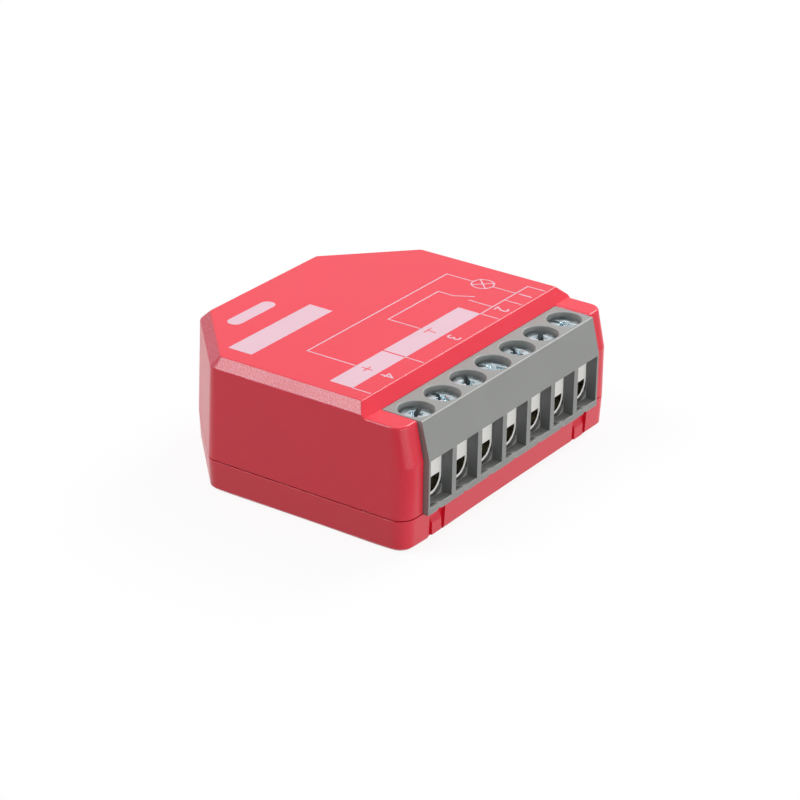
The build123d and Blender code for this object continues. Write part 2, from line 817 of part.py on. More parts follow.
# Armature, hinged on the yoke's front edge, with its leaf spring and contact
with BuildPart() as relay_armature:
    with BuildSketch(Plane.XY.offset(yoke_base)):
        with Locations(((yoke_left + armature_right) / 2, armature_back - armature_thickness / 2)):
            Rectangle(armature_length, armature_thickness)
    extrude(amount=yoke_height)
relay_armature.part.label = "relay_armature"
export_step(relay_armature.part, "parts/relay_armature.step")

leaf_left = yoke_left + armature_length / 2
leaf_right = armature_right + leaf_reach
with BuildPart() as relay_contact_spring:
    with BuildSketch(Plane.XY.offset(coil_z - leaf_width / 2)):
        with Locations(((leaf_left + leaf_right) / 2, armature_front - leaf_thickness / 2)):
            Rectangle(leaf_right - leaf_left, leaf_thickness)
    extrude(amount=leaf_width)
relay_contact_spring.part.label = "relay_contact_spring"
export_step(relay_contact_spring.part, "parts/relay_contact_spring.step")

with BuildPart() as relay_moving_contact:
    with BuildSketch(Plane.XZ.offset(-armature_front)):
        with Locations((blade_x, coil_z)):
            Circle(contact_radius)
    extrude(amount=armature_front - moving_face)
relay_moving_contact.part.label = "relay_moving_contact"
export_step(relay_moving_contact.part, "parts/relay_moving_contact.step")

with BuildPart() as relay_fixed_contact:
    with BuildSketch(Plane.XY.offset(yoke_base)):
        with Locations((blade_x, blade_y)):
            Rectangle(blade_width, blade_thickness)
    extrude(amount=blade_height)
    with BuildSketch(Plane.XZ.offset(-fixed_face)):
        with Locations((blade_x, coil_z)):
            Circle(contact_radius)
    extrude(amount=-contact_thickness)
    with BuildSketch(Plane.XY.offset(lead_end)):
        with Locations((blade_x, blade_y)):
            Rectangle(relay_tail, blade_thickness)
    extrude(amount=yoke_base - lead_end)
relay_fixed_contact.part.label = "relay_fixed_contact"
export_step(relay_fixed_contact.part, "parts/relay_fixed_contact.step")

for number, place in enumerate(coil_pins, start=1):
    with BuildPart() as relay_coil_pin:
        with BuildSketch(Plane.XY.offset(lead_end)):
            with Locations(place):
                Rectangle(coil_pin, coil_pin)
        extrude(amount=relay_base_top + coil_pin_height - lead_end)
    relay_coil_pin.part.label = f"relay_coil_pin_{number}"
    export_step(relay_coil_pin.part, f"parts/relay_coil_pin_{number}.step")

# Interference capacitor: a moulded box on two leads
with BuildPart() as film_capacitor:
    with BuildSketch(Plane.XY.offset(board_top)):
        with Locations((film_x, film_y)):
            Rectangle(film_width, film_depth)
    extrude(amount=film_height)
    fillet(film_capacitor.edges().filter_by(Axis.Z), radius=film_edge)
    with BuildSketch(Plane.XY.offset(lead_end)):
        with Locations(*film_holes):
            Circle(lead_radius)
    extrude(amount=board_top - lead_end)
film_capacitor.part.label = "film_capacitor"
export_step(film_capacitor.part, "parts/film_capacitor.step")

# Two electrolytic capacitors: cans with a rolled groove near the foot, standing on two leads
cans = [
    ("bulk_capacitor", bulk_x, bulk_y, bulk_radius, bulk_height, bulk_holes),
    ("smoothing_capacitor", smoothing_x, smoothing_y, smoothing_radius, smoothing_height, smoothing_holes),
]
for label, x, y, radius, can_height, leads in cans:
    with BuildPart() as capacitor:
        with BuildSketch(Plane.XY.offset(board_top)):
            with Locations((x, y)):
                Circle(radius)
        extrude(amount=can_height)
        fillet(capacitor.edges().sort_by(Axis.Z)[-1], radius=can_edge)
        with BuildSketch(Plane.XY.offset(board_top + can_groove_height)):
            with Locations((x, y)):
                Circle(radius + over)
                Circle(radius - can_groove, mode=Mode.SUBTRACT)
        extrude(amount=can_edge, mode=Mode.SUBTRACT)
        with BuildSketch(Plane.XY.offset(lead_end)):
            with Locations(*leads):
                Circle(lead_radius)
        extrude(amount=board_top - lead_end)
    capacitor.part.label = label
    export_step(capacitor.part, f"parts/{label}.step")

# Choke: a ferrite drum with its winding between the flanges
with BuildPart() as choke_core:
    with BuildSketch(Plane.XY.offset(board_top)):
        with Locations((choke_x, choke_y)):
            Circle(choke_radius)
    extrude(amount=choke_height)
    with BuildSketch(Plane.XY.offset(board_top + choke_flange)):
        with Locations((choke_x, choke_y)):
            Circle(choke_radius + over)
            Circle(choke_post, mode=Mode.SUBTRACT)
    extrude(amount=choke_height - 2 * choke_flange, mode=Mode.SUBTRACT)
    with BuildSketch(Plane.XY.offset(lead_end)):
        with Locations(*choke_holes):
            Circle(lead_radius)
    extrude(amount=board_top - lead_end)
choke_core.part.label = "choke_core"
export_step(choke_core.part, "parts/choke_core.step")

with BuildPart() as choke_winding:
    with BuildSketch(Plane.XY.offset(board_top + choke_flange)):
        with Locations((choke_x, choke_y)):
            Circle(choke_post + choke_wire_depth)
            Circle(choke_post, mode=Mode.SUBTRACT)
    extrude(amount=choke_height - 2 * choke_flange)
choke_winding.part.label = "choke_winding"
export_step(choke_winding.part, "parts/choke_winding.step")

# Fusible resistor: a barrel along Y with its leads bent down into the board
fuse_z = board_top + fuse_radius
with BuildPart() as fusible_resistor:
    with BuildSketch(Plane.XZ.offset(-fuse_y + fuse_length / 2)):
        with Locations((fuse_x, fuse_z)):
            Circle(fuse_radius)
    extrude(amount=-fuse_length)
    with BuildSketch(Plane.XZ.offset(-fuse_y + fuse_reach)):
        with Locations((fuse_x, fuse_z)):
            Circle(lead_radius)
    extrude(amount=-2 * fuse_reach)
    with BuildSketch(Plane.XY.offset(lead_end)):
        with Locations(*fuse_holes):
            Circle(lead_radius)
    extrude(amount=fuse_z + lead_radius - lead_end)
fusible_resistor.part.label = "fusible_resistor"
export_step(fusible_resistor.part, "parts/fusible_resistor.step")

# Varistor: a coated disc on edge
varistor_z = board_top + varistor_rise + varistor_radius
with BuildPart() as varistor:
    with BuildSketch(Plane.YZ.offset(varistor_x - varistor_thickness / 2)):
        with Locations((varistor_y, varistor_z)):
            Circle(varistor_radius)
    extrude(amount=varistor_thickness)
    fillet(varistor.edges(), radius=varistor_edge)
    with BuildSketch(Plane.XY.offset(lead_end)):
        with Locations(*varistor_holes):
            Circle(lead_radius)
    extrude(amount=varistor_z - lead_end)
varistor.part.label = "varistor"
export_step(varistor.part, "parts/varistor.step")

# Two surface-mounted packages
packages = [
    ("bridge_rectifier", rectifier_x, rectifier_y, rectifier_width, rectifier_depth, rectifier_height),
    ("converter_chip", chip_x, chip_y, chip_width, chip_depth, chip_height),
]
for label, x, y, package_width, package_depth, package_height in packages:
    with BuildPart() as package:
        with BuildSketch(Plane.XY.offset(board_top)):
            with Locations((x, y)):
                Rectangle(package_width, package_depth)
        extrude(amount=package_height)
        chamfer(package.faces().sort_by(Axis.Z)[-1].edges(), length=package_edge)
    package.part.label = label
    export_step(package.part, f"parts/{label}.step")

# Radio board on edge, with a shield over its chip and a folded antenna above it
radio_y = room_back - radio_back_gap - radio_thickness / 2
radio_front = radio_y - radio_thickness / 2
radio_top = board_top + radio_height
with BuildPart() as radio_board:
    with BuildSketch(Plane.XY.offset(board_top)):
        with Locations((-radio_shift, radio_y)):
            Rectangle(radio_width, radio_thickness)
    extrude(amount=radio_height)
radio_board.part.label = "radio_board"
export_step(radio_board.part, "parts/radio_board.step")

with BuildPart() as radio_shield:
    with BuildSketch(Plane.XZ.offset(-radio_front)):
        with Locations((-radio_shift, board_top + shield_rise + shield_height / 2)):
            Rectangle(shield_width, shield_height)
    extrude(amount=shield_depth)
    with BuildSketch(Plane.XZ.offset(-radio_front)):
        with Locations((-radio_shift, board_top + shield_rise + shield_height / 2)):
            Rectangle(shield_width - 2 * shield_sheet, shield_height - 2 * shield_sheet)
    extrude(amount=shield_depth - shield_sheet, mode=Mode.SUBTRACT)
radio_shield.part.label = "radio_shield"
export_step(radio_shield.part, "parts/radio_shield.step")

antenna_back = radio_y + radio_thickness / 2
antenna_base = radio_top - antenna_rise
with BuildPart() as radio_antenna:
    with BuildSketch(Plane.XZ.offset(-antenna_back)):
        with Locations((-radio_shift, radio_top - antenna_strip)):
            Rectangle(antenna_span, antenna_strip)
        with Locations((-radio_shift, (radio_top - antenna_strip + antenna_base) / 2)):
            with GridLocations(antenna_span / antenna_legs, antenna_rise, antenna_legs, 1):
                Rectangle(antenna_strip, antenna_rise - antenna_strip)
    extrude(amount=-antenna_thickness)
radio_antenna.part.label = "radio_antenna"
export_step(radio_antenna.part, "parts/radio_antenna.step")

# Pairing button, reached with a pin through the hole in the back
button_rear = room_back - button_back_gap
button_y = button_rear - button_depth / 2
button_z = board_top + button_rise
with BuildPart() as button_body:
    with BuildSketch(Plane.XY.offset(board_top)):
        with Locations((button_x, button_y)):
            Rectangle(button_width, button_depth)
    extrude(amount=button_height)
    with BuildSketch(Plane.XZ.offset(-button_rear)):
        with Locations((button_x, button_z)):
            Circle(plunger_radius + plunger_clearance)
    extrude(amount=button_depth / 2, mode=Mode.SUBTRACT)
    with BuildSketch(Plane.XZ.offset(plunger_lip - button_rear)):
        with Locations((button_x, button_z)):
            Circle(plunger_flange + plunger_clearance)
    extrude(amount=plunger_flange_thickness + plunger_stroke + 2 * plunger_clearance, mode=Mode.SUBTRACT)
button_body.part.label = "button_body"
export_step(button_body.part, "parts/button_body.step")

flange_rear = button_rear - plunger_lip - plunger_clearance
with BuildPart() as button_plunger:
    with BuildSketch(Plane.XZ.offset(-flange_rear)):
        with Locations((button_x, button_z)):
            Circle(plunger_flange)
    extrude(amount=plunger_flange_thickness)
    with BuildSketch(Plane.XZ.offset(-button_rear - plunger_length)):
        with Locations((button_x, button_z)):
            Circle(plunger_radius)
    extrude(amount=button_rear + plunger_length - flange_rear)
button_plunger.part.label = "button_plunger"
export_step(button_plunger.part, "parts/button_plunger.step")

# Status lamp
with BuildPart() as status_lamp:
    with BuildSketch(Plane.XY.offset(board_top)):
        with Locations((lamp_x, room_back - lamp_back_gap)):
            Rectangle(lamp_length, lamp_width)
    extrude(amount=lamp_height)
status_lamp.part.label = "status_lamp"
export_step(status_lamp.part, "parts/status_lamp.step")
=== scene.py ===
"""Looks of a seven-pole in-wall relay module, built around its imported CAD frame.

Every length is in metres, and every piece lies in the CAD frame: X runs along the terminals, the wires enter
from -Y, and Z points up through the printed top face.
"""

import logging
import math
from collections.abc import Callable, Iterator
from contextlib import contextmanager
from dataclasses import dataclass, field
from enum import Enum

import bmesh
import bpy
from mathutils import Matrix, Vector

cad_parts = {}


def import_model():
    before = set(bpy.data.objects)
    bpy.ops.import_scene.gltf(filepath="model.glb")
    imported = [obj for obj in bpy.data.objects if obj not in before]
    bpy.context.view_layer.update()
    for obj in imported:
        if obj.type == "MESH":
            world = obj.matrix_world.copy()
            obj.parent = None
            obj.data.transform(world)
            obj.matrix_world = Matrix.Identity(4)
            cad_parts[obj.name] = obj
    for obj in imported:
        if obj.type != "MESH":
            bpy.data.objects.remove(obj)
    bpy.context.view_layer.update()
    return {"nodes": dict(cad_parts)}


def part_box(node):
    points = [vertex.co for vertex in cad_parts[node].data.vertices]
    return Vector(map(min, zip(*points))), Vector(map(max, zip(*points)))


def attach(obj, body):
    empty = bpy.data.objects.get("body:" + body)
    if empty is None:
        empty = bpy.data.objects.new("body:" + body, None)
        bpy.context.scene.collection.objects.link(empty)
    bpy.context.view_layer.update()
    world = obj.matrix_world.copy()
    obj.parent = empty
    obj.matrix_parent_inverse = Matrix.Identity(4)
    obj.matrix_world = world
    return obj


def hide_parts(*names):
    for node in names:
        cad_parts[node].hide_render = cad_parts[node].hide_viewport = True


LOG = logging.getLogger("relay_module")
MM = 0.001
POLES = range(1, 8)

Colour = tuple[float, float, float]
Point = tuple[float, float, float]
Span = tuple[float, float]


class Element(Enum):
    """The parts of a mesh that are picked in edit mode."""

    FACE = "FACE"
    EDGE = "EDGE"


class Combining(Enum):
    """What is done with a second solid."""

    JOIN = "UNION"
    CUT_AWAY = "DIFFERENCE"


class Operation(Enum):
    """The sums that the materials need."""

    ADD = "ADD"
    MULTIPLY = "MULTIPLY"
    MULTIPLY_ADD = "MULTIPLY_ADD"
    MAXIMUM = "MAXIMUM"
    ABSOLUTE = "ABSOLUTE"


class Reading(Enum):
    """What a material reads at each spot of a piece."""

    PLACE = "Object"
    FACING = "Normal"


# Working in edit mode


def clear_selection() -> None:
    """Clears the selection, so that a new primitive is all that is selected."""
    if bpy.context.object and bpy.context.object.mode != "OBJECT":
        bpy.ops.object.mode_set(mode="OBJECT")
    bpy.ops.object.select_all(action="DESELECT")


def activate(piece: bpy.types.Object) -> None:
    """Leaves only this piece selected and active, in object mode.

    Args:
        piece: The object to work on.
    """
    clear_selection()
    bpy.context.view_layer.objects.active = piece
    piece.select_set(True)


@contextmanager
def editing(piece: bpy.types.Object) -> Iterator[None]:
    """Keeps a piece in edit mode with nothing selected while the block runs.

    Args:
        piece: The mesh object to edit.

    Returns:
        The manager of a with block, which yields nothing.
    """
    activate(piece)
    bpy.ops.object.mode_set(mode="EDIT")
    bpy.ops.mesh.select_all(action="DESELECT")
    yield
    bpy.ops.object.mode_set(mode="OBJECT")


def pick(piece: bpy.types.Object, kind: Element,
         test: Callable[[bmesh.types.BMFace | bmesh.types.BMEdge], bool]) -> None:
    """Selects the faces or edges that pass a test, in edit mode.

    Args:
        piece: The object in edit mode.
        kind: Whether faces or edges are picked.
        test: Says whether a face or an edge is picked.
    """
    bpy.ops.mesh.select_mode(type=kind.value)
    bpy.ops.mesh.select_all(action="DESELECT")
    mesh = bmesh.from_edit_mesh(piece.data)
    for part in mesh.faces if kind is Element.FACE else mesh.edges:
        if test(part):
            part.select_set(True)
    bmesh.update_edit_mesh(piece.data)


def settle(piece: bpy.types.Object, name: str) -> bpy.types.Object:
    """Names a piece and puts its place, turn and scale into its mesh.

    Args:
        piece: The object to settle.
        name: Its final name.

    Returns:
        The same object, at the origin, unturned and unscaled.
    """
    activate(piece)
    bpy.ops.object.transform_apply(location=True, rotation=True, scale=True)
    piece.name = name
    piece.data.name = name
    return piece


def block(name: str, low: Point, high: Point) -> bpy.types.Object:
    """Makes a closed block between two corners.

    Args:
        name: The object's name.
        low: Its lowest corner.
        high: Its highest corner.

    Returns:
        The new object.
    """
    clear_selection()
    centre = [(a + b) / 2 for a, b in zip(low, high)]
    bpy.ops.mesh.primitive_cube_add(size=1, location=centre)
    piece = bpy.context.active_object
    piece.scale = [b - a for a, b in zip(low, high)]
    return settle(piece, name)


def join(pieces: list[bpy.types.Object]) -> bpy.types.Object:
    """Joins several pieces into the first of them.

    Args:
        pieces: The pieces.

    Returns:
        The first piece, which holds them all.
    """
    activate(pieces[0])
    for other in pieces[1:]:
        other.select_set(True)
    bpy.ops.object.join()
    return pieces[0]


def combine(piece: bpy.types.Object, other: bpy.types.Object, way: Combining) -> bpy.types.Object:
    """Joins another solid to a piece or cuts it away, and removes the other.

    Args:
        piece: The piece that stays.
        other: The solid that is used up.
        way: What is done with the other.

    Returns:
        The piece.
    """
    activate(piece)
    modifier = piece.modifiers.new("combine", "BOOLEAN")
    modifier.object = other
    modifier.operation = way.value
    modifier.solver = "EXACT"
    bpy.ops.object.modifier_apply(modifier=modifier.name)
    bpy.data.objects.remove(other, do_unlink=True)
    return piece


def soften(piece: bpy.types.Object, radius: float, angle: float = 35.0,
           segments: int = 2) -> bpy.types.Object:
    """Rounds a piece's sharp edges and shades it smooth.

    Args:
        piece: The piece.
        radius: The width of the rounding.
        angle: Edges that turn by more than this many degrees are rounded.
        segments: How many steps the rounding has.

    Returns:
        The piece.
    """
    activate(piece)
    modifier = piece.modifiers.new("soften", "BEVEL")
    modifier.width = radius
    modifier.segments = segments
    modifier.limit_method = "ANGLE"
    modifier.angle_limit = math.radians(angle)
    bpy.ops.object.modifier_apply(modifier=modifier.name)
    bpy.ops.object.shade_smooth_by_angle(angle=math.radians(angle))
    return piece


def lathe(name: str, profile: list[Span], steps: int) -> bpy.types.Object:
    """Turns a profile about the Z axis into a closed solid.

    Args:
        name: The object's name.
        profile: Pairs of radius and height, from the axis at the bottom to the axis at the top.
        steps: How many steps the turn has.

    Returns:
        The new object, standing on the origin's axis.
    """
    clear_selection()
    bpy.ops.mesh.primitive_plane_add(size=MM)
    piece = bpy.context.active_object
    with editing(piece):
        bpy.ops.mesh.select_all(action="SELECT")
        bpy.ops.mesh.merge(type="CENTER")
        bpy.ops.mesh.select_mode(type="VERT")
        bpy.ops.mesh.select_all(action="SELECT")
        bpy.ops.transform.translate(value=(profile[0][0], 0, profile[0][1]))
        for (radius, level), (next_radius, next_level) in zip(profile, profile[1:]):
            shift = (next_radius - radius, 0, next_level - level)
            bpy.ops.mesh.extrude_vertices_move(TRANSFORM_OT_translate={"value": shift})
        bpy.ops.mesh.select_all(action="SELECT")
        bpy.ops.mesh.spin(steps=steps, angle=2 * math.pi, center=(0, 0, 0), axis=(0, 0, 1))
        bpy.ops.mesh.select_all(action="SELECT")
        bpy.ops.mesh.remove_doubles(threshold=MM / 1000)
        bpy.ops.mesh.normals_make_consistent(inside=False)
    return settle(piece, name)


# Shared effects


class Effect(Enum):
    """The node groups that more than one material uses."""

    MOULD_GRAIN = "mould_grain"
    PATINA = "patina"


def link(tree: bpy.types.NodeTree, source: bpy.types.NodeSocket, target: bpy.types.NodeSocket) -> None:
    """Links one socket to another.

    Args:
        tree: The node tree.
        source: The output socket.
        target: The input socket.
    """
    tree.links.new(source, target)


def maths(tree: bpy.types.NodeTree, operation: Operation,
          *values: bpy.types.NodeSocket) -> bpy.types.NodeSocket:
    """Works out a value from one or more others.

    Args:
        tree: The node tree.
        operation: The sum.
        values: The sockets that it works on.

    Returns:
        The result's socket.
    """
    node = tree.nodes.new("ShaderNodeMath")
    node.operation = operation.value
    for value, inlet in zip(values, node.inputs):
        link(tree, value, inlet)
    return node.outputs["Value"]


def split(tree: bpy.types.NodeTree, reading: Reading) -> bpy.types.ShaderNode:
    """Splits a place or a facing into its three parts.

    Args:
        tree: The node tree.
        reading: What is split.

    Returns:
        A node with the outputs X, Y and Z.
    """
    place = tree.nodes.new("ShaderNodeTexCoord")
    axes = tree.nodes.new("ShaderNodeSeparateXYZ")
    link(tree, place.outputs[reading.value], axes.inputs["Vector"])
    return axes


def blank_group(kind: Effect, inputs: tuple[str, ...], outputs: tuple[str, ...]) -> bpy.types.NodeTree:
    """Makes an empty node group with its sockets.

    Args:
        kind: The effect that the group is for.
        inputs: The names of its inputs.
        outputs: The names of its outputs.

    Returns:
        The new group.
    """
    tree = bpy.data.node_groups.new(kind.value, "ShaderNodeTree")
    for names, side in ((inputs, "INPUT"), (outputs, "OUTPUT")):
        for name in names:
            tree.interface.new_socket(name, in_out=side, socket_type="NodeSocketFloat")
    return tree


def noise(tree: bpy.types.NodeTree, detail: float, scale: float | bpy.types.NodeSocket,
          roughness: float = 0.5) -> bpy.types.NodeSocket:
    """Places a noise texture that is fixed to the piece.

    Args:
        tree: The node tree.
        detail: How many finer layers it has.
        scale: Its scale, or the socket that gives it.
        roughness: How strong the finer layers are.

    Returns:
        The noise's value.
    """
    place = tree.nodes.new("ShaderNodeTexCoord")
    node = tree.nodes.new("ShaderNodeTexNoise")
    node.inputs["Detail"].default_value = detail
    node.inputs["Roughness"].default_value = roughness
    if isinstance(scale, float):
        node.inputs["Scale"].default_value = scale
    else:
        link(tree, scale, node.inputs["Scale"])
    link(tree, place.outputs["Object"], node.inputs["Vector"])
    return node.outputs["Fac"]


def build_mould_grain() -> bpy.types.NodeTree:
    """Builds the fine spark-eroded grain of a moulding.

    Returns:
        A group with the inputs Scale and Unevenness, and the outputs Height and Mottle.
    """
    tree = blank_group(Effect.MOULD_GRAIN, ("Scale", "Unevenness"), ("Height", "Mottle"))
    inlet = tree.nodes.new("NodeGroupInput")
    outlet = tree.nodes.new("NodeGroupOutput")
    fine = noise(tree, detail=3.0, scale=inlet.outputs["Scale"], roughness=0.65)
    slow = noise(tree, detail=1.0, scale=160.0)
    height = maths(tree, Operation.MULTIPLY_ADD, slow, inlet.outputs["Unevenness"], fine)
    link(tree, height, outlet.inputs["Height"])
    link(tree, slow, outlet.inputs["Mottle"])
    return tree


def build_patina() -> bpy.types.NodeTree:
    """Builds the cloudy unevenness of a plated or cast metal.

    Returns:
        A group with the input Scale, and the outputs Height and Cloud.
    """
    tree = blank_group(Effect.PATINA, ("Scale",), ("Height", "Cloud"))
    inlet = tree.nodes.new("NodeGroupInput")
    outlet = tree.nodes.new("NodeGroupOutput")
    place = tree.nodes.new("ShaderNodeTexCoord")
    cells = tree.nodes.new("ShaderNodeTexVoronoi")
    link(tree, place.outputs["Object"], cells.inputs["Vector"])
    link(tree, inlet.outputs["Scale"], cells.inputs["Scale"])
    link(tree, cells.outputs["Distance"], outlet.inputs["Height"])
    link(tree, noise(tree, detail=5.0, scale=900.0), outlet.inputs["Cloud"])
    return tree


def effect(tree: bpy.types.NodeTree, kind: Effect, **values: float) -> bpy.types.ShaderNodeGroup:
    """Places a shared effect in a material.

    Args:
        tree: The material's node tree.
        kind: The effect wanted.
        values: What its inputs are set to, by their names.

    Returns:
        The new group node.
    """
    builders = {Effect.MOULD_GRAIN: build_mould_grain, Effect.PATINA: build_patina}
    group = bpy.data.node_groups.get(kind.value) or builders[kind]()
    node = tree.nodes.new("ShaderNodeGroup")
    node.node_tree = group
    for name, value in values.items():
        node.inputs[name].default_value = value
    return node


def ramp(tree: bpy.types.NodeTree, source: bpy.types.NodeSocket, span: Span,
         result: Span) -> bpy.types.NodeSocket:
    """Maps a value's span onto a span of results.

    Args:
        tree: The material's node tree.
        source: The value.
        span: The values that stand for the two ends.
        result: What the two ends become.

    Returns:
        The mapped value's socket.
    """
    node = tree.nodes.new("ShaderNodeMapRange")
    node.inputs["From Min"].default_value, node.inputs["From Max"].default_value = span
    node.inputs["To Min"].default_value, node.inputs["To Max"].default_value = result
    link(tree, source, node.inputs["Value"])
    return node.outputs["Result"]


def blend_colours(tree: bpy.types.NodeTree, mask: bpy.types.NodeSocket, first: Colour | bpy.types.NodeSocket,
                  second: Colour | bpy.types.NodeSocket) -> bpy.types.NodeSocket:
    """Mixes two colours by a mask.

    Args:
        tree: The material's node tree.
        mask: 0 gives the first colour and 1 the second.
        first: A linear colour, or the socket of one.
        second: A linear colour, or the socket of one.

    Returns:
        The mixed colour's socket.
    """
    node = tree.nodes.new("ShaderNodeMix")
    node.data_type = "RGBA"
    for inlet, colour in ((node.inputs["A"], first), (node.inputs["B"], second)):
        if isinstance(colour, tuple):
            inlet.default_value = (*colour, 1)
        else:
            link(tree, colour, inlet)
    link(tree, mask, node.inputs["Factor"])
    return node.outputs["Result"]


def relief(tree: bpy.types.NodeTree, height: bpy.types.NodeSocket, strength: float, distance: float,
           shader: bpy.types.ShaderNode) -> None:
    """Feeds a height through a bump node into a shader's normal.

    Args:
        tree: The material's node tree.
        height: The height's socket.
        strength: How strong the relief is, from 0 to 1.
        distance: How high a height of 1 stands, in metres.
        shader: The Principled BSDF that takes the normal.
    """
    bump = tree.nodes.new("ShaderNodeBump")
    bump.inputs["Strength"].default_value = strength
    bump.inputs["Distance"].default_value = distance
    link(tree, height, bump.inputs["Height"])
    link(tree, bump.outputs["Normal"], shader.inputs["Normal"])


def blank_material(name: str) -> tuple[bpy.types.Material, bpy.types.NodeTree, bpy.types.ShaderNode]:
    """Makes a material with only a Principled BSDF and its output.

    Args:
        name: The material's name.

    Returns:
        The material, its node tree and the shader.
    """
    material = bpy.data.materials.new(name)
    material.use_nodes = True
    tree = material.node_tree
    tree.nodes.clear()
    shader = tree.nodes.new("ShaderNodeBsdfPrincipled")
    outlet = tree.nodes.new("ShaderNodeOutputMaterial")
    link(tree, shader.outputs["BSDF"], outlet.inputs["Surface"])
    return material, tree, shader


# Finishes


PATCH_SPAN: Span = (0.35, 0.65)
CLOUD_SPAN: Span = (0.3, 0.7)


@dataclass(frozen=True)
class Moulding:
    """An injection-moulded plastic with a fine eroded grain, and with painted glints on its bevels when glint
    colours are given.
    """

    name: str
    light: Colour
    dark: Colour
    roughness: Span
    grain_scale: float
    grain_depth: float
    grain_strength: float
    specular: float = 0.5
    unevenness: float = 0.4
    # Painted glints: a darker red and a pale speck colour for the bevels
    bevel_glint_colours: tuple[Colour, Colour] | None = None
    glint_span: Span = (0.44, 0.6)
    above_walls: Span = (0.3, 0.5)
    below_top: Span = (0.8, 0.9)
    off_front: Span = (-0.3, -0.1)

    def bevel_share(self, tree: bpy.types.NodeTree) -> bpy.types.NodeSocket:
        """Finds the bevels along the piece's side and rear top edges, where glints of its grain catching the
        light are painted.

        Args:
            tree: The material's node tree.

        Returns:
            1 on those bevels and 0 elsewhere.
        """
        facing = split(tree, Reading.FACING)
        leaning = maths(tree, Operation.MULTIPLY,
                        ramp(tree, facing.outputs["Z"], self.above_walls, (0, 1)),
                        ramp(tree, facing.outputs["Z"], self.below_top, (1, 0)))
        behind = ramp(tree, facing.outputs["Y"], self.off_front, (0, 1))
        return maths(tree, Operation.MULTIPLY, leaning, behind)

    def build(self) -> bpy.types.Material:
        """Builds the material.

        Returns:
            The new material.
        """
        material, tree, shader = blank_material(self.name)
        grain = effect(tree, Effect.MOULD_GRAIN, Scale=self.grain_scale, Unevenness=self.unevenness)
        body = blend_colours(tree, grain.outputs["Mottle"], self.dark, self.light)
        # Painted glints of the grain: pale specks over a darker red on the bevels
        if self.bevel_glint_colours is not None:
            glint_spots = ramp(tree, grain.outputs["Height"], self.glint_span, (0, 1))
            painted_glints = blend_colours(tree, glint_spots, *self.bevel_glint_colours)
            body = blend_colours(tree, self.bevel_share(tree), body, painted_glints)
        link(tree, body, shader.inputs["Base Color"])
        link(tree, ramp(tree, grain.outputs["Mottle"], (0, 1), self.roughness), shader.inputs["Roughness"])
        shader.inputs["Specular IOR Level"].default_value = self.specular
        relief(tree, grain.outputs["Height"], self.grain_strength, self.grain_depth, shader)
        return material


@dataclass(frozen=True)
class Metal:
    """A plated or bare metal with a slightly cloudy surface."""

    name: str
    light: Colour
    dark: Colour
    roughness: Span
    cell_scale: float
    relief_depth: float
    relief_strength: float = 0.3
    metallic: float = 1.0

    def build(self) -> bpy.types.Material:
        """Builds the material.

        Returns:
            The new material.
        """
        material, tree, shader = blank_material(self.name)
        shader.inputs["Metallic"].default_value = self.metallic
        patina = effect(tree, Effect.PATINA, Scale=self.cell_scale)
        cloud = patina.outputs["Cloud"]
        mask = ramp(tree, cloud, PATCH_SPAN, (0, 1))
        link(tree, blend_colours(tree, mask, self.dark, self.light), shader.inputs["Base Color"])
        link(tree, ramp(tree, cloud, CLOUD_SPAN, self.roughness), shader.inputs["Roughness"])
        relief(tree, patina.outputs["Height"], self.relief_strength, self.relief_depth, shader)
        return material


# The red shell's bevels get painted glints: pale specks over a darker red
RED_SHELL = Moulding("red_shell_plastic", (0.83, 0.017, 0.048), (0.79, 0.014, 0.041), (0.26, 0.34), 5200.0,
                     0.022 * MM, 0.7, specular=0.56, unevenness=0.0,
                     bevel_glint_colours=((0.60, 0.012, 0.035), (0.66, 0.08, 0.15)))
PRINT_INK = Moulding("pad_print_ink", (0.76, 0.51, 0.59), (0.72, 0.47, 0.55), (0.5, 0.6), 6000.0,
                     0.004 * MM, 0.4)
BLACK_PLASTIC = Moulding("moulded_black", (0.035, 0.035, 0.037), (0.022, 0.022, 0.024), (0.42, 0.55), 4200.0,
                         0.01 * MM, 0.5)
BOBBIN_PLASTIC = Moulding("moulded_bobbin", (0.72, 0.68, 0.55), (0.64, 0.60, 0.48), (0.45, 0.6), 4200.0,
                          0.01 * MM, 0.5)
CAPACITOR_GREY = Moulding("moulded_capacitor_box", (0.42, 0.43, 0.45), (0.36, 0.37, 0.39), (0.35, 0.5),
                          4200.0, 0.01 * MM, 0.4)
FERRITE = Moulding("sintered_ferrite", (0.085, 0.085, 0.09), (0.05, 0.05, 0.053), (0.6, 0.8), 2600.0,
                   0.02 * MM, 0.8)
RESISTOR_BODY = Moulding("resistor_lacquer", (0.30, 0.47, 0.42), (0.24, 0.40, 0.35), (0.3, 0.45), 3000.0,
                         0.01 * MM, 0.4)
VARISTOR_BLUE = Moulding("varistor_coating", (0.05, 0.17, 0.43), (0.035, 0.12, 0.34), (0.28, 0.45), 2200.0,
                         0.03 * MM, 0.6)
BUTTON_PLASTIC = Moulding("moulded_button", (0.78, 0.76, 0.70), (0.70, 0.68, 0.62), (0.4, 0.5), 4200.0,
                          0.01 * MM, 0.4)
LAMP_PLASTIC = Moulding("clear_lamp", (0.88, 0.86, 0.78), (0.80, 0.78, 0.70), (0.2, 0.3), 3000.0,
                        0.005 * MM, 0.3)
ZINC_SCREW = Metal("zinc_plate", (0.76, 0.84, 0.87), (0.42, 0.51, 0.56), (0.14, 0.3), 2600.0, 0.02 * MM, 0.5)
TINNED_METAL = Metal("tinned_copper", (0.86, 0.85, 0.82), (0.72, 0.71, 0.68), (0.3, 0.5), 2400.0, 0.01 * MM)
SOFT_IRON = Metal("plated_iron", (0.55, 0.55, 0.53), (0.42, 0.42, 0.41), (0.35, 0.55), 1800.0, 0.01 * MM)
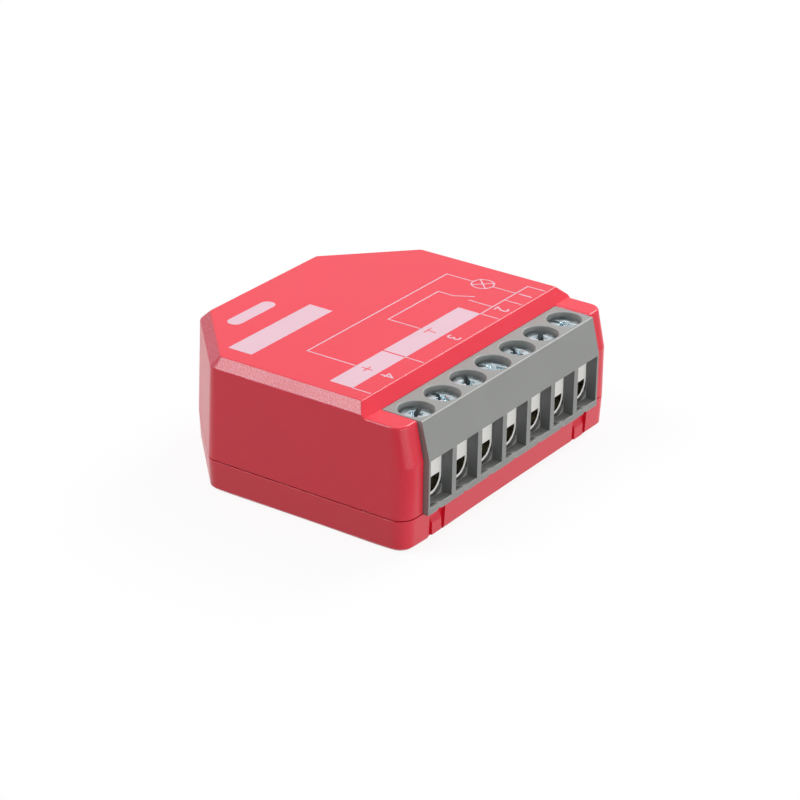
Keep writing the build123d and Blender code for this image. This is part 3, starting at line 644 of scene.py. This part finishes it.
CONTACT_BRASS = Metal("rolled_brass", (0.80, 0.58, 0.28), (0.66, 0.45, 0.20), (0.22, 0.4), 1800.0, 0.008 * MM)
CONTACT_SILVER = Metal("silver_contact", (0.90, 0.89, 0.85), (0.78, 0.77, 0.74), (0.2, 0.35), 2200.0,
                       0.008 * MM)
COPPER_WIRE = Metal("enamelled_copper", (0.74, 0.30, 0.12), (0.58, 0.20, 0.07), (0.22, 0.35), 2200.0,
                    0.006 * MM)
CAPACITOR_CAN = Metal("drawn_can", (0.74, 0.74, 0.76), (0.60, 0.60, 0.62), (0.25, 0.4), 1500.0, 0.006 * MM)


@dataclass(frozen=True)
class BlockMoulding:
    """The terminal block's grey plastic, painted paler along its rounded edges as a highlight, and darker on
    the wire entries' walls as shade.
    """

    name: str = "terminal_grey_plastic"
    light: Colour = (0.315, 0.322, 0.312)
    dark: Colour = (0.275, 0.282, 0.274)
    # Painted highlight: the colour of the rounded edges
    edge: Colour = (0.40, 0.41, 0.40)
    # Painted shade: the colour of the wire entries' walls
    painted_shade_wall: Colour = (0.160, 0.168, 0.168)
    rake: Point = (0.0, -0.976, 0.217)
    flat_share: Span = (0.985, 0.93)
    wall_share: Span = (0.97, 0.99)
    roughness: Span = (0.52, 0.36)
    grain_scale: float = 4200.0
    unevenness: float = 0.4
    grain_depth: float = 0.01 * MM
    grain_strength: float = 0.5
    hole_level: float = 11.0 * MM
    hole_fade: float = 0.1 * MM
    end_wall: float = 17.3 * MM
    end_fade: float = 0.2 * MM
    upward: Span = (0.15, 0.3)

    def lean(self, tree: bpy.types.NodeTree, normal: bpy.types.NodeSocket,
             axis: Point) -> bpy.types.NodeSocket:
        """Measures how nearly the surface faces along an axis.

        Args:
            tree: The material's node tree.
            normal: The surface normal in the piece's own axes.
            axis: The axis.

        Returns:
            1 where the surface faces along the axis, either way, and less elsewhere.
        """
        dot = tree.nodes.new("ShaderNodeVectorMath")
        dot.operation = "DOT_PRODUCT"
        dot.inputs[1].default_value = axis
        link(tree, normal, dot.inputs[0])
        return maths(tree, Operation.ABSOLUTE, dot.outputs["Value"])

    def build(self) -> bpy.types.Material:
        """Builds the material.

        Returns:
            The new material.
        """
        material, tree, shader = blank_material(self.name)
        normal = tree.nodes.new("ShaderNodeTexCoord").outputs["Normal"]
        level = split(tree, Reading.PLACE)
        sideways = self.lean(tree, normal, (1, 0, 0))
        flat = sideways
        for axis in ((0, 1, 0), (0, 0, 1), self.rake):
            flat = maths(tree, Operation.MAXIMUM, flat, self.lean(tree, normal, axis))
        edge_highlight_share = ramp(tree, flat, self.flat_share, (0, 1))
        # The driver holes' walls lean too, so above their floor only what faces upwards counts as an edge
        # that gets the painted highlight
        below = ramp(tree, level.outputs["Z"], (self.hole_level, self.hole_level + self.hole_fade), (1, 0))
        upward = ramp(tree, split(tree, Reading.FACING).outputs["Z"], self.upward, (0, 1))
        edge_highlight_share = maths(tree, Operation.MULTIPLY, edge_highlight_share, maths(tree, Operation.MAXIMUM, below, upward))
        # Painted shade: only the walls of the wire entries are darker, not the block's two ends
        across = maths(tree, Operation.ABSOLUTE, level.outputs["X"])
        inside = ramp(tree, across, (self.end_wall - self.end_fade, self.end_wall), (1, 0))
        entry_wall_shade = ramp(tree, sideways, self.wall_share, (0, 1))
        entry_wall_shade = maths(tree, Operation.MULTIPLY, entry_wall_shade, maths(tree, Operation.MULTIPLY, below, inside))
        grain = effect(tree, Effect.MOULD_GRAIN, Scale=self.grain_scale, Unevenness=self.unevenness)
        body = blend_colours(tree, grain.outputs["Mottle"], self.dark, self.light)
        # Painted shade darkens the wire entries' walls
        body = blend_colours(tree, entry_wall_shade, body, self.painted_shade_wall)
        # Painted highlight: the rounded edges take the paler colour
        link(tree, blend_colours(tree, edge_highlight_share, body, self.edge), shader.inputs["Base Color"])
        link(tree, ramp(tree, edge_highlight_share, (0, 1), self.roughness), shader.inputs["Roughness"])
        relief(tree, grain.outputs["Height"], self.grain_strength, self.grain_depth, shader)
        return material


@dataclass(frozen=True)
class SheetClamp:
    """A nickel-plated clamp with a matt pale front and darker, glossier rolled sides: the pale front is
    partly painted light and the darker sides partly painted shade.
    """

    name: str = "clamp_nickel_plate"
    # Partly the matt plating, partly painted light on the faces towards the wires
    front: Colour = (0.98, 0.97, 0.94)
    # Partly the glossier plating, partly painted shade on the other faces
    side: Colour = (0.50, 0.47, 0.38)
    front_metal: float = 0.0
    front_roughness: float = 0.38
    side_roughness: float = 0.2
    patches: Span = (-0.05, 0.08)
    cell_scale: float = 2400.0
    front_facing: Span = (-0.9, -0.7)
    relief_depth: float = 0.006 * MM
    relief_strength: float = 0.3

    def build(self) -> bpy.types.Material:
        """Builds the material.

        Returns:
            The new material.
        """
        material, tree, shader = blank_material(self.name)
        # Faces towards the wires are painted pale as lit, the other faces darker as shaded
        mask = ramp(tree, split(tree, Reading.FACING).outputs["Y"], self.front_facing, (0, 1))
        link(tree, blend_colours(tree, mask, self.front, self.side), shader.inputs["Base Color"])
        link(tree, ramp(tree, mask, (0, 1), (self.front_metal, 1.0)), shader.inputs["Metallic"])
        patina = effect(tree, Effect.PATINA, Scale=self.cell_scale)
        plain = ramp(tree, mask, (0, 1), (self.front_roughness, self.side_roughness))
        patchy = ramp(tree, patina.outputs["Cloud"], CLOUD_SPAN, self.patches)
        link(tree, maths(tree, Operation.ADD, plain, patchy), shader.inputs["Roughness"])
        relief(tree, patina.outputs["Height"], self.relief_strength, self.relief_depth, shader)
        return material


@dataclass(frozen=True)
class CircuitBoard:
    """A board with green solder mask over faint copper tracks."""

    name: str = "circuit_board"
    mask_colour: Colour = (0.012, 0.16, 0.06)
    track_colour: Colour = (0.03, 0.26, 0.10)
    track_pitch: float = 700.0
    track_width: float = 0.06
    roughness: Span = (0.28, 0.4)
    relief_depth: float = 0.03 * MM
    relief_strength: float = 0.4

    def build(self) -> bpy.types.Material:
        """Builds the material.

        Returns:
            The new material.
        """
        material, tree, shader = blank_material(self.name)
        place = tree.nodes.new("ShaderNodeTexCoord")
        tracks = tree.nodes.new("ShaderNodeTexBrick")
        tracks.inputs["Scale"].default_value = self.track_pitch
        tracks.inputs["Mortar Size"].default_value = self.track_width
        tracks.inputs["Color1"].default_value = (0, 0, 0, 1)
        tracks.inputs["Color2"].default_value = (0, 0, 0, 1)
        tracks.inputs["Mortar"].default_value = (1, 1, 1, 1)
        link(tree, place.outputs["Object"], tracks.inputs["Vector"])
        track = tracks.outputs["Fac"]
        colour = blend_colours(tree, track, self.mask_colour, self.track_colour)
        link(tree, colour, shader.inputs["Base Color"])
        link(tree, ramp(tree, track, (0, 1), self.roughness), shader.inputs["Roughness"])
        relief(tree, track, self.relief_strength, self.relief_depth, shader)
        return material


Finish = Moulding | Metal | SheetClamp | BlockMoulding | CircuitBoard
BOARD = CircuitBoard()
NICKEL_CLAMP = SheetClamp()
TERMINAL_GREY = BlockMoulding()


def dress(piece: bpy.types.Object, finish: Finish) -> None:
    """Gives a piece one finish all over.

    Args:
        piece: A mesh object, or a carried-over CAD node.
        finish: The finish.
    """
    material = bpy.data.materials.get(finish.name) or finish.build()
    if piece.material_slots:
        for place in piece.material_slots:
            place.material = material
    else:
        piece.data.materials.append(material)


def stand_in(piece: bpy.types.Object, finish: Finish, body: str, node: str) -> None:
    """Dresses a piece, ties it to its body and hides the CAD node that it replaces.

    Args:
        piece: The finished piece.
        finish: Its finish.
        body: The body that it moves with.
        node: The CAD node that it replaces.
    """
    dress(piece, finish)
    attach(piece, body)
    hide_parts(node)
    LOG.info("built %s", piece.name)


# Sub-assemblies


@dataclass
class CarriedNodes:
    """The CAD nodes that are shown as they are, each with its own finish."""

    nodes: dict[str, bpy.types.Object]
    finishes: dict[str, Finish] = field(default_factory=lambda: {
        "upper_shell": RED_SHELL,
        "lower_shell": RED_SHELL,
        "main_board": BOARD,
        "radio_board": BOARD,
        "relay_base": BLACK_PLASTIC,
        "relay_cover": BLACK_PLASTIC,
        "relay_bobbin": BOBBIN_PLASTIC,
        "relay_core": SOFT_IRON,
        "relay_yoke": SOFT_IRON,
        "relay_armature": SOFT_IRON,
        "relay_contact_spring": CONTACT_BRASS,
        "relay_fixed_contact": CONTACT_BRASS,
        "relay_moving_contact": CONTACT_SILVER,
        "relay_coil_pin_1": TINNED_METAL,
        "relay_coil_pin_2": TINNED_METAL,
        "film_capacitor": CAPACITOR_GREY,
        "bulk_capacitor": CAPACITOR_CAN,
        "smoothing_capacitor": CAPACITOR_CAN,
        "choke_core": FERRITE,
        "fusible_resistor": RESISTOR_BODY,
        "varistor": VARISTOR_BLUE,
        "bridge_rectifier": BLACK_PLASTIC,
        "converter_chip": BLACK_PLASTIC,
        "radio_shield": TINNED_METAL,
        "radio_antenna": CONTACT_BRASS,
        "button_body": BLACK_PLASTIC,
        "button_plunger": BUTTON_PLASTIC,
        "status_lamp": LAMP_PLASTIC,
    })

    def dress_all(self) -> None:
        """Dresses every carried-over node."""
        for name, finish in self.finishes.items():
            dress(self.nodes[name], finish)
            LOG.info("dressed %s", name)
        for pole in POLES:
            dress(self.nodes[f"terminal_pole_{pole}"], TERMINAL_GREY)
            dress(self.nodes[f"clamp_cage_{pole}"], NICKEL_CLAMP)
            dress(self.nodes[f"contact_bar_{pole}"], TINNED_METAL)


@dataclass
class ClampScrews:
    """The seven terminal screws, each with a head cut by a slot and a cross, and a threaded shank."""

    turns: tuple[float, ...] = (20, 75, 48, 110, 64, 35, 92)
    head_thickness: float = 2.3 * MM
    rim: float = 0.14 * MM
    dish: float = 0.06 * MM
    slot_width: float = 0.6 * MM
    slot_depth: float = 1.0 * MM
    cross_span: float = 2.4 * MM
    cross_width: float = 0.8 * MM
    cross_foot: float = 0.35 * MM
    cross_depth: float = 1.3 * MM
    shank_radius: float = 1.22 * MM
    thread_root: float = 1.0 * MM
    thread_pitch: float = 0.5 * MM
    downward: float = -0.9
    edge_radius: float = 0.04 * MM
    arm_narrowing: float = 0.6
    steps: int = 40

    def profile(self, head_radius: float, foot: float, top: float) -> list[Span]:
        """Lists the outline that is turned into the screw's body.

        Args:
            head_radius: The head's radius.
            foot: The height of the shank's end.
            top: The height of the head's top.

        Returns:
            Pairs of radius and height, from the foot up to the top.
        """
        seat = top - self.head_thickness
        points = [(0.0, foot), (self.thread_root, foot)]
        level = foot + self.thread_pitch / 2
        while level + self.thread_pitch < seat:
            points.append((self.shank_radius, level))
            points.append((self.thread_root, level + self.thread_pitch / 2))
            level += self.thread_pitch
        points.append((self.thread_root, seat))
        points.append((head_radius, seat))
        points.append((head_radius, top - self.rim))
        points.append((head_radius - self.rim, top))
        points.append((head_radius / 2, top + self.dish))
        points.append((0.0, top + self.dish))
        return points

    def recess(self, name: str, top: float) -> bpy.types.Object:
        """Makes the tapered cross recess as a cutter.

        Args:
            name: The cutter's name.
            top: The height of the head's top.

        Returns:
            The cutter.
        """
        reach = self.cross_span / 2
        half = self.cross_width / 2
        cutter = block(name, (-reach, -half, top - self.cross_depth), (reach, half, top + MM))
        other = block(name + "_b", (-half, -reach, top - self.cross_depth), (half, reach, top + MM))
        foot = self.cross_foot / self.cross_span
        for arm, narrow in ((cutter, (foot, self.arm_narrowing, 1)), (other, (self.arm_narrowing, foot, 1))):
            with editing(arm):
                pick(arm, Element.FACE, lambda face: face.normal.z < self.downward)
                bpy.ops.transform.resize(value=narrow, center_override=(0, 0, top - self.cross_depth))
        return combine(cutter, other, Combining.JOIN)

    def build(self) -> None:
        """Builds, places and dresses the screws."""
        for pole, turn in zip(POLES, self.turns):
            node = f"clamp_screw_{pole}"
            low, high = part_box(node)
            radius = (high.x - low.x) / 2
            top = high.z
            centre = (low + high) / 2
            screw = lathe("screw", self.profile(radius, low.z, top - self.dish), self.steps)
            half = self.slot_width / 2
            slot_floor = top - self.slot_depth
            slot = block("slot", (-2 * radius, -half, slot_floor), (2 * radius, half, top + MM))
            combine(screw, slot, Combining.CUT_AWAY)
            combine(screw, self.recess("recess", top), Combining.CUT_AWAY)
            soften(screw, self.edge_radius)
            screw.rotation_euler = (0, 0, math.radians(turn))
            screw.location = (centre.x, centre.y, 0)
            settle(screw, f"terminal_screw_{pole}")
            stand_in(screw, ZINC_SCREW, f"screw_{pole}", node)


@dataclass
class Windings:
    """The wound copper of the relay's coil and of the choke, turn by turn."""

    wire: float = 0.28 * MM
    former_wall: float = 0.85 * MM
    choke_build: float = 1.15 * MM
    steps: int = 40
    smooth_angle: float = 50.0

    def turned(self, name: str, inner: float, outer: float, low: float, high: float) -> bpy.types.Object:
        """Makes a winding whose outside is a row of wire turns.

        Args:
            name: The piece's name.
            inner: The radius of the former.
            outer: The radius over the wire.
            low: The height of the winding's start.
            high: The height of its end.

        Returns:
            The new piece, about the Z axis.
        """
        count = max(4, round((high - low) / self.wire))
        pitch = (high - low) / count
        points = [(inner, low)]
        for turn in range(count):
            base = low + turn * pitch
            points.append((outer - pitch / 2, base))
            points.append((outer - pitch / 7, base + pitch / 4))
            points.append((outer, base + pitch / 2))
            points.append((outer - pitch / 7, base + 3 * pitch / 4))
        points.append((outer - pitch / 2, high))
        points.append((inner, high))
        points.append((inner, low))
        piece = lathe(name, points, self.steps)
        bpy.ops.object.shade_smooth_by_angle(angle=math.radians(self.smooth_angle))
        return piece

    def build(self) -> None:
        """Builds both windings in their nodes' places."""
        low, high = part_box("relay_winding")
        core_low, core_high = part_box("relay_core")
        former = (core_high.x - core_low.x) / 2
        radius = (high.x - low.x) / 2
        coil = self.turned("relay_coil_turns", former + self.former_wall, radius, low.y, high.y)
        place = Matrix.Translation(((low.x + high.x) / 2, 0, (low.z + high.z) / 2))
        coil.matrix_world = place @ Matrix.Rotation(math.radians(-90), 4, "X")
        settle(coil, "relay_coil_turns")
        stand_in(coil, COPPER_WIRE, "case", "relay_winding")
        low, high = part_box("choke_winding")
        radius = (high.x - low.x) / 2
        coil = self.turned("choke_turns", radius - self.choke_build, radius, low.z, high.z)
        coil.location = ((low.x + high.x) / 2, (low.y + high.y) / 2, 0)
        settle(coil, "choke_turns")
        stand_in(coil, COPPER_WIRE, "case", "choke_winding")


@dataclass
class Print:
    """The pale print on the top face: plain bars, a wiring diagram, symbols and terminal numbers."""

    thickness: float = 0.015 * MM
    sink: float = 0.01 * MM
    line: float = 0.17 * MM
    border_y: float = -8.36 * MM
    edge_y: float = -10.7 * MM
    bar_back: float = -5.3 * MM
    ticks: tuple[float, ...] = (-17.5, -7.5, 7.5, 12.5, 17.5)
    lamp: Span = (14.95, -3.75)
    lamp_radius: float = 1.42 * MM
    box_low: Span = (-17.15, 5.68)
    box_high: Span = (-2.0, 8.9)
    pill_low: Span = (-11.9, 11.8)
    pill_high: Span = (-4.1, 13.65)
    numbers: tuple[tuple[str, float], ...] = (("1", 15.0), ("2", 10.0), ("3", 0.1), ("4", -12.6))
    number_size: float = 2.45 * MM
    ring_sides: int = 64
    supply_x: float = -12.6
    supply_y: float = 1.36
    return_x: float = -0.1
    return_y: float = -0.8
    switch_x: float = 10.0
    switch_gap: Span = (-5.15, -2.95)
    switch_tip: Span = (11.2, -5.0)
    plus: Span = (-12.55, -6.75)
    plus_reach: float = 0.65
    earth_y: Span = (-7.2, -6.15)
    earth_reach: float = 0.7
    bar_gap: float = 0.12
    pill_rounding: float = 0.99
    pill_steps: int = 12
    cutter_stretch: float = 20.0
    merge_distance: float = MM / 10000

    def levels(self) -> Span:
        """Works out the print's heights.

        Returns:
            The height of its underside and of its face.
        """
        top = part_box("upper_shell")[1].z
        return top - self.sink, top + self.thickness

    def run(self, start: Span, end: Span) -> bpy.types.Object:
        """Makes one straight line of print.

        Args:
            start: Where it starts, in millimetres.
            end: Where it ends, in millimetres.

        Returns:
            The line, half a width longer at both ends.
        """
        low, high = self.levels()
        first, last = Vector(start) * MM, Vector(end) * MM
        length = (last - first).length + self.line
        clear_selection()
        bpy.ops.mesh.primitive_cube_add(size=1)
        piece = bpy.context.active_object
        piece.scale = (length, self.line, high - low)
        middle = (first + last) / 2
        piece.location = (middle.x, middle.y, (low + high) / 2)
        piece.rotation_euler = (0, 0, math.atan2(last.y - first.y, last.x - first.x))
        return settle(piece, "print_run")

    def ring(self) -> bpy.types.Object:
        """Makes the lamp symbol's ring.

        Returns:
            The ring.
        """
        low, high = self.levels()
        clear_selection()
        place = (self.lamp[0] * MM, self.lamp[1] * MM, (low + high) / 2)
        sides, inner = self.ring_sides, self.lamp_radius - self.line
        bpy.ops.mesh.primitive_cylinder_add(vertices=sides, radius=self.lamp_radius, depth=high - low,
                                            location=place)
        disc = settle(bpy.context.active_object, "print_ring")
        clear_selection()
        bpy.ops.mesh.primitive_cylinder_add(vertices=sides, radius=inner, depth=MM, location=place)
        return combine(disc, settle(bpy.context.active_object, "ring_hole"), Combining.CUT_AWAY)

    def plate(self, low: Span, high: Span) -> bpy.types.Object:
        """Makes a filled rectangle of print.

        Args:
            low: Its lowest corner, in millimetres.
            high: Its highest corner, in millimetres.

        Returns:
            The rectangle.
        """
        base, face = self.levels()
        return block("print_plate", (low[0] * MM, low[1] * MM, base), (high[0] * MM, high[1] * MM, face))

    def diagram(self) -> bpy.types.Object:
        """Draws the wiring diagram and the terminal grid.

        Returns:
            The lines, as one solid.
        """
        border, edge, back = self.border_y / MM, self.edge_y / MM, self.bar_back / MM
        lamp_x, lamp_y = self.lamp
        reach = self.lamp_radius / MM
        slant = reach * math.sqrt(0.5)
        runs = [((x, border), (x, edge)) for x in self.ticks]
        runs += [
            ((self.ticks[2], border), (self.ticks[-1], border)),
            ((self.supply_x, back), (self.supply_x, self.supply_y)),
            ((self.supply_x, self.supply_y), (lamp_x, self.supply_y)),
            ((lamp_x, self.supply_y), (lamp_x, lamp_y + reach)),
            ((lamp_x, lamp_y - reach), (lamp_x, border)),
            ((lamp_x - slant, lamp_y - slant), (lamp_x + slant, lamp_y + slant)),
            ((lamp_x - slant, lamp_y + slant), (lamp_x + slant, lamp_y - slant)),
            ((self.return_x, back), (self.return_x, self.return_y)),
            ((self.return_x, self.return_y), (self.switch_x, self.return_y)),
            ((self.switch_x, self.return_y), (self.switch_x, self.switch_gap[1])),
            ((self.switch_x, self.switch_gap[1]), self.switch_tip),
            ((self.switch_x, self.switch_gap[0]), (self.switch_x, border)),
        ]
        lines = self.run(*runs[0])
        for start, end in runs[1:]:
            combine(lines, self.run(start, end), Combining.JOIN)
        combine(lines, self.ring(), Combining.JOIN)
        return lines

    def bars(self) -> bpy.types.Object:
        """Makes the two joined bars with their plus and earth marks, the blank box and the blank pill.

        Returns:
            The filled shapes, as one object.
        """
        border, back = self.border_y / MM, self.bar_back / MM
        left = self.plate((self.ticks[0], border), (self.ticks[1] - self.bar_gap, back))
        right = self.plate((self.ticks[1] + self.bar_gap, border), (self.ticks[2], back))
        (x, y), reach = self.plus, self.plus_reach
        for start, end in (((x - reach, y), (x + reach, y)), ((x, y + reach), (x, y - reach))):
            combine(left, self.deep(self.run(start, end)), Combining.CUT_AWAY)
        (foot, head), reach = self.earth_y, self.earth_reach
        for start, end in (((-reach, head), (reach, head)), ((0.0, head), (0.0, foot))):
            combine(right, self.deep(self.run(start, end)), Combining.CUT_AWAY)
        box = self.plate(self.box_low, self.box_high)
        pill = self.plate(self.pill_low, self.pill_high)
        radius = (self.pill_high[1] - self.pill_low[1]) / 2 * MM
        with editing(pill):
            pick(pill, Element.EDGE,
                 lambda edge: abs(edge.verts[0].co.z - edge.verts[1].co.z) > self.thickness / 2)
            bpy.ops.mesh.bevel(offset=radius * self.pill_rounding, segments=self.pill_steps, affect="EDGES")
        return join([left, right, box, pill])

    def deep(self, cutter: bpy.types.Object) -> bpy.types.Object:
        """Makes a cutter stand well above and below the print.

        Args:
            cutter: A line of print.

        Returns:
            The same object, taller.
        """
        low, high = self.levels()
        with editing(cutter):
            bpy.ops.mesh.select_all(action="SELECT")
            bpy.ops.transform.resize(value=(1, 1, self.cutter_stretch),
                                     center_override=(0, 0, (low + high) / 2))
        return cutter

    def figures(self) -> bpy.types.Object:
        """Makes the terminal numbers, upright for a reader who stands behind the module.

        Returns:
            The numbers, as one object.
        """
        low, high = self.levels()
        made = []
        for figure, x in self.numbers:
            clear_selection()
            bpy.ops.object.text_add()
            text = bpy.context.active_object
            text.data.body = figure
            text.data.size = self.number_size
            text.data.align_x = "CENTER"
            text.data.align_y = "CENTER"
            text.data.extrude = (high - low) / 2
            activate(text)
            bpy.ops.object.convert(target="MESH")
            text = bpy.context.active_object
            text.rotation_euler = (0, 0, math.pi)
            text.location = (x * MM, (self.border_y + self.edge_y) / 2, (low + high) / 2)
            made.append(settle(text, "print_number"))
        joined = join(made)
        with editing(joined):
            bpy.ops.mesh.select_all(action="SELECT")
            bpy.ops.mesh.remove_doubles(threshold=self.merge_distance)
        return joined

    def build(self) -> None:
        """Builds, dresses and places the print."""
        for name, piece in (("print_diagram", self.diagram()), ("print_bars", self.bars()),
                            ("print_numbers", self.figures())):
            settle(piece, name)
            dress(piece, PRINT_INK)
            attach(piece, "case")
            LOG.info("built %s", name)


# Studio


@dataclass(frozen=True)
class Lamp:
    """One soft area lamp that looks at the module."""

    name: str
    direction: Point
    distance: float
    size: Span
    power: float


@dataclass
class Studio:
    """The plain pale floor, the soft lamps and the camera."""

    target: Point = (3.66 * MM, 0.0, 4.2 * MM)
    azimuth: float = -55.4186
    elevation: float = 25.2585
    roll: float = 0.8922
    distance: float = 327.02 * MM
    focal: float = 2803.07
    picture: int = 800
    sensor: float = 36.0
    clip: Span = (0.01, 10.0)
    floor_size: float = 3.0
    floor_drop: float = 0.02 * MM
    floor_roughness: float = 0.9
    floor_gloss: float = 0.1
    floor_albedo: float = 0.38
    floor_shown: float = 0.92
    floor_glow: float = 0.9
    floor_reflected_glow: Span = (0.35, 1.0)
    floor_reflected_glow_span: Span = (-36 * MM, -23 * MM)
    world_level: float = 0.25
    lamps: tuple[Lamp, ...] = (
        Lamp("key_lamp", (-0.37, 0.51, 0.79), 0.7, (0.28, 0.28), 2.1),
        Lamp("front_strip", (-0.08, -0.98, 0.14), 0.5, (0.6, 0.11), 1.25),
        Lamp("overhead_lamp", (0.25, 0.05, 1.0), 0.9, (0.6, 0.6), 2.2),
        Lamp("right_lamp", (0.74, -0.08, 0.64), 0.7, (0.3, 0.3), 2.4),
        Lamp("rear_panel", (0.74, 0.51, 0.43), 0.9, (0.9, 0.9), 0.15),
    )

    def floor(self) -> None:
        """Lays the floor, which keeps the module's shadow and glows in mirrored rays as a painted reflection.
        """
        clear_selection()
        bpy.ops.mesh.primitive_plane_add(size=self.floor_size, location=(0, 0, -self.floor_drop))
        plane = settle(bpy.context.active_object, "studio_floor")
        material, tree, shader = blank_material("studio_floor")
        shader.inputs["Roughness"].default_value = self.floor_roughness
        shader.inputs["Specular IOR Level"].default_value = self.floor_gloss
        outlet = next(node for node in tree.nodes if node.type == "OUTPUT_MATERIAL")
        glow = tree.nodes.new("ShaderNodeEmission")
        glow.inputs["Strength"].default_value = 1.0
        rays = tree.nodes.new("ShaderNodeLightPath")
        seen = maths(tree, Operation.MAXIMUM, rays.outputs["Is Camera Ray"],
                     rays.outputs["Is Transmission Ray"])
        dull, pale = (self.floor_albedo,) * 3, (self.floor_shown,) * 3
        link(tree, blend_colours(tree, seen, dull, pale), shader.inputs["Base Color"])
        # Painted reflection: in mirrored rays the floor glows, fully near the module and dimmer further in
        # front
        painted_reflection = ramp(tree, split(tree, Reading.PLACE).outputs["Y"], self.floor_reflected_glow_span, self.floor_reflected_glow)
        painted_reflection = maths(tree, Operation.MULTIPLY, painted_reflection, rays.outputs["Is Glossy Ray"])
        shown = ramp(tree, seen, (0, 1), (0, self.floor_glow))
        mixed = tree.nodes.new("ShaderNodeMixShader")
        link(tree, maths(tree, Operation.MAXIMUM, shown, painted_reflection), mixed.inputs["Fac"])
        link(tree, shader.outputs["BSDF"], mixed.inputs[1])
        link(tree, glow.outputs["Emission"], mixed.inputs[2])
        link(tree, mixed.outputs["Shader"], outlet.inputs["Surface"])
        plane.data.materials.append(material)

    def world(self) -> None:
        """Sets the world, white where it is seen or mirrored and plain grey as a light."""
        world = bpy.data.worlds.new("studio_world")
        bpy.context.scene.world = world
        world.use_nodes = True
        tree = world.node_tree
        tree.nodes.clear()
        outlet = tree.nodes.new("ShaderNodeOutputWorld")
        background = tree.nodes.new("ShaderNodeBackground")
        rays = tree.nodes.new("ShaderNodeLightPath")
        seen = rays.outputs["Is Camera Ray"]
        for ray in ("Is Glossy Ray", "Is Transmission Ray"):
            seen = maths(tree, Operation.MAXIMUM, seen, rays.outputs[ray])
        link(tree, ramp(tree, seen, (0, 1), (self.world_level, 1.0)), background.inputs["Strength"])
        link(tree, background.outputs["Background"], outlet.inputs["Surface"])

    def light(self) -> None:
        """Hangs the lamps."""
        for lamp in self.lamps:
            data = bpy.data.lights.new(lamp.name, "AREA")
            data.shape = "RECTANGLE"
            data.size, data.size_y = lamp.size
            data.energy = lamp.power
            piece = bpy.data.objects.new(lamp.name, data)
            bpy.context.scene.collection.objects.link(piece)
            direction = Vector(lamp.direction).normalized()
            piece.location = direction * lamp.distance
            piece.rotation_euler = direction.to_track_quat("Z", "Y").to_euler()

    def camera(self) -> None:
        """Sets the camera at the photograph's viewing angle."""
        azimuth, elevation, roll = (math.radians(v) for v in (self.azimuth, self.elevation, self.roll))
        back = Vector((math.sin(azimuth) * math.cos(elevation), -math.cos(azimuth) * math.cos(elevation),
                       math.sin(elevation)))
        right = (-back).cross(Vector((0, 0, 1))).normalized()
        up = back.cross(right)
        turned_right = right * math.cos(roll) + up * math.sin(roll)
        turned_up = -right * math.sin(roll) + up * math.cos(roll)
        data = bpy.data.cameras.new("studio_camera")
        data.sensor_width = self.sensor
        data.lens = self.focal * self.sensor / self.picture
        data.clip_start, data.clip_end = self.clip
        camera = bpy.data.objects.new("studio_camera", data)
        bpy.context.scene.collection.objects.link(camera)
        turn = Matrix((turned_right, turned_up, back)).transposed()
        camera.matrix_world = Matrix.Translation(Vector(self.target) + back * self.distance) @ turn.to_4x4()
        bpy.context.scene.camera = camera

    def build(self) -> None:
        """Builds the studio."""
        self.floor()
        self.world()
        self.light()
        self.camera()
        bpy.context.scene.view_settings.view_transform = "Standard"
        LOG.info("built the studio")


def main() -> None:
    """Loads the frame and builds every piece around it."""
    logging.basicConfig(level=logging.INFO, format="%(name)s: %(message)s")
    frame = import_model()
    CarriedNodes(frame["nodes"]).dress_all()
    ClampScrews().build()
    Windings().build()
    Print().build()
    Studio().build()


if __name__ == "__main__":
    main()
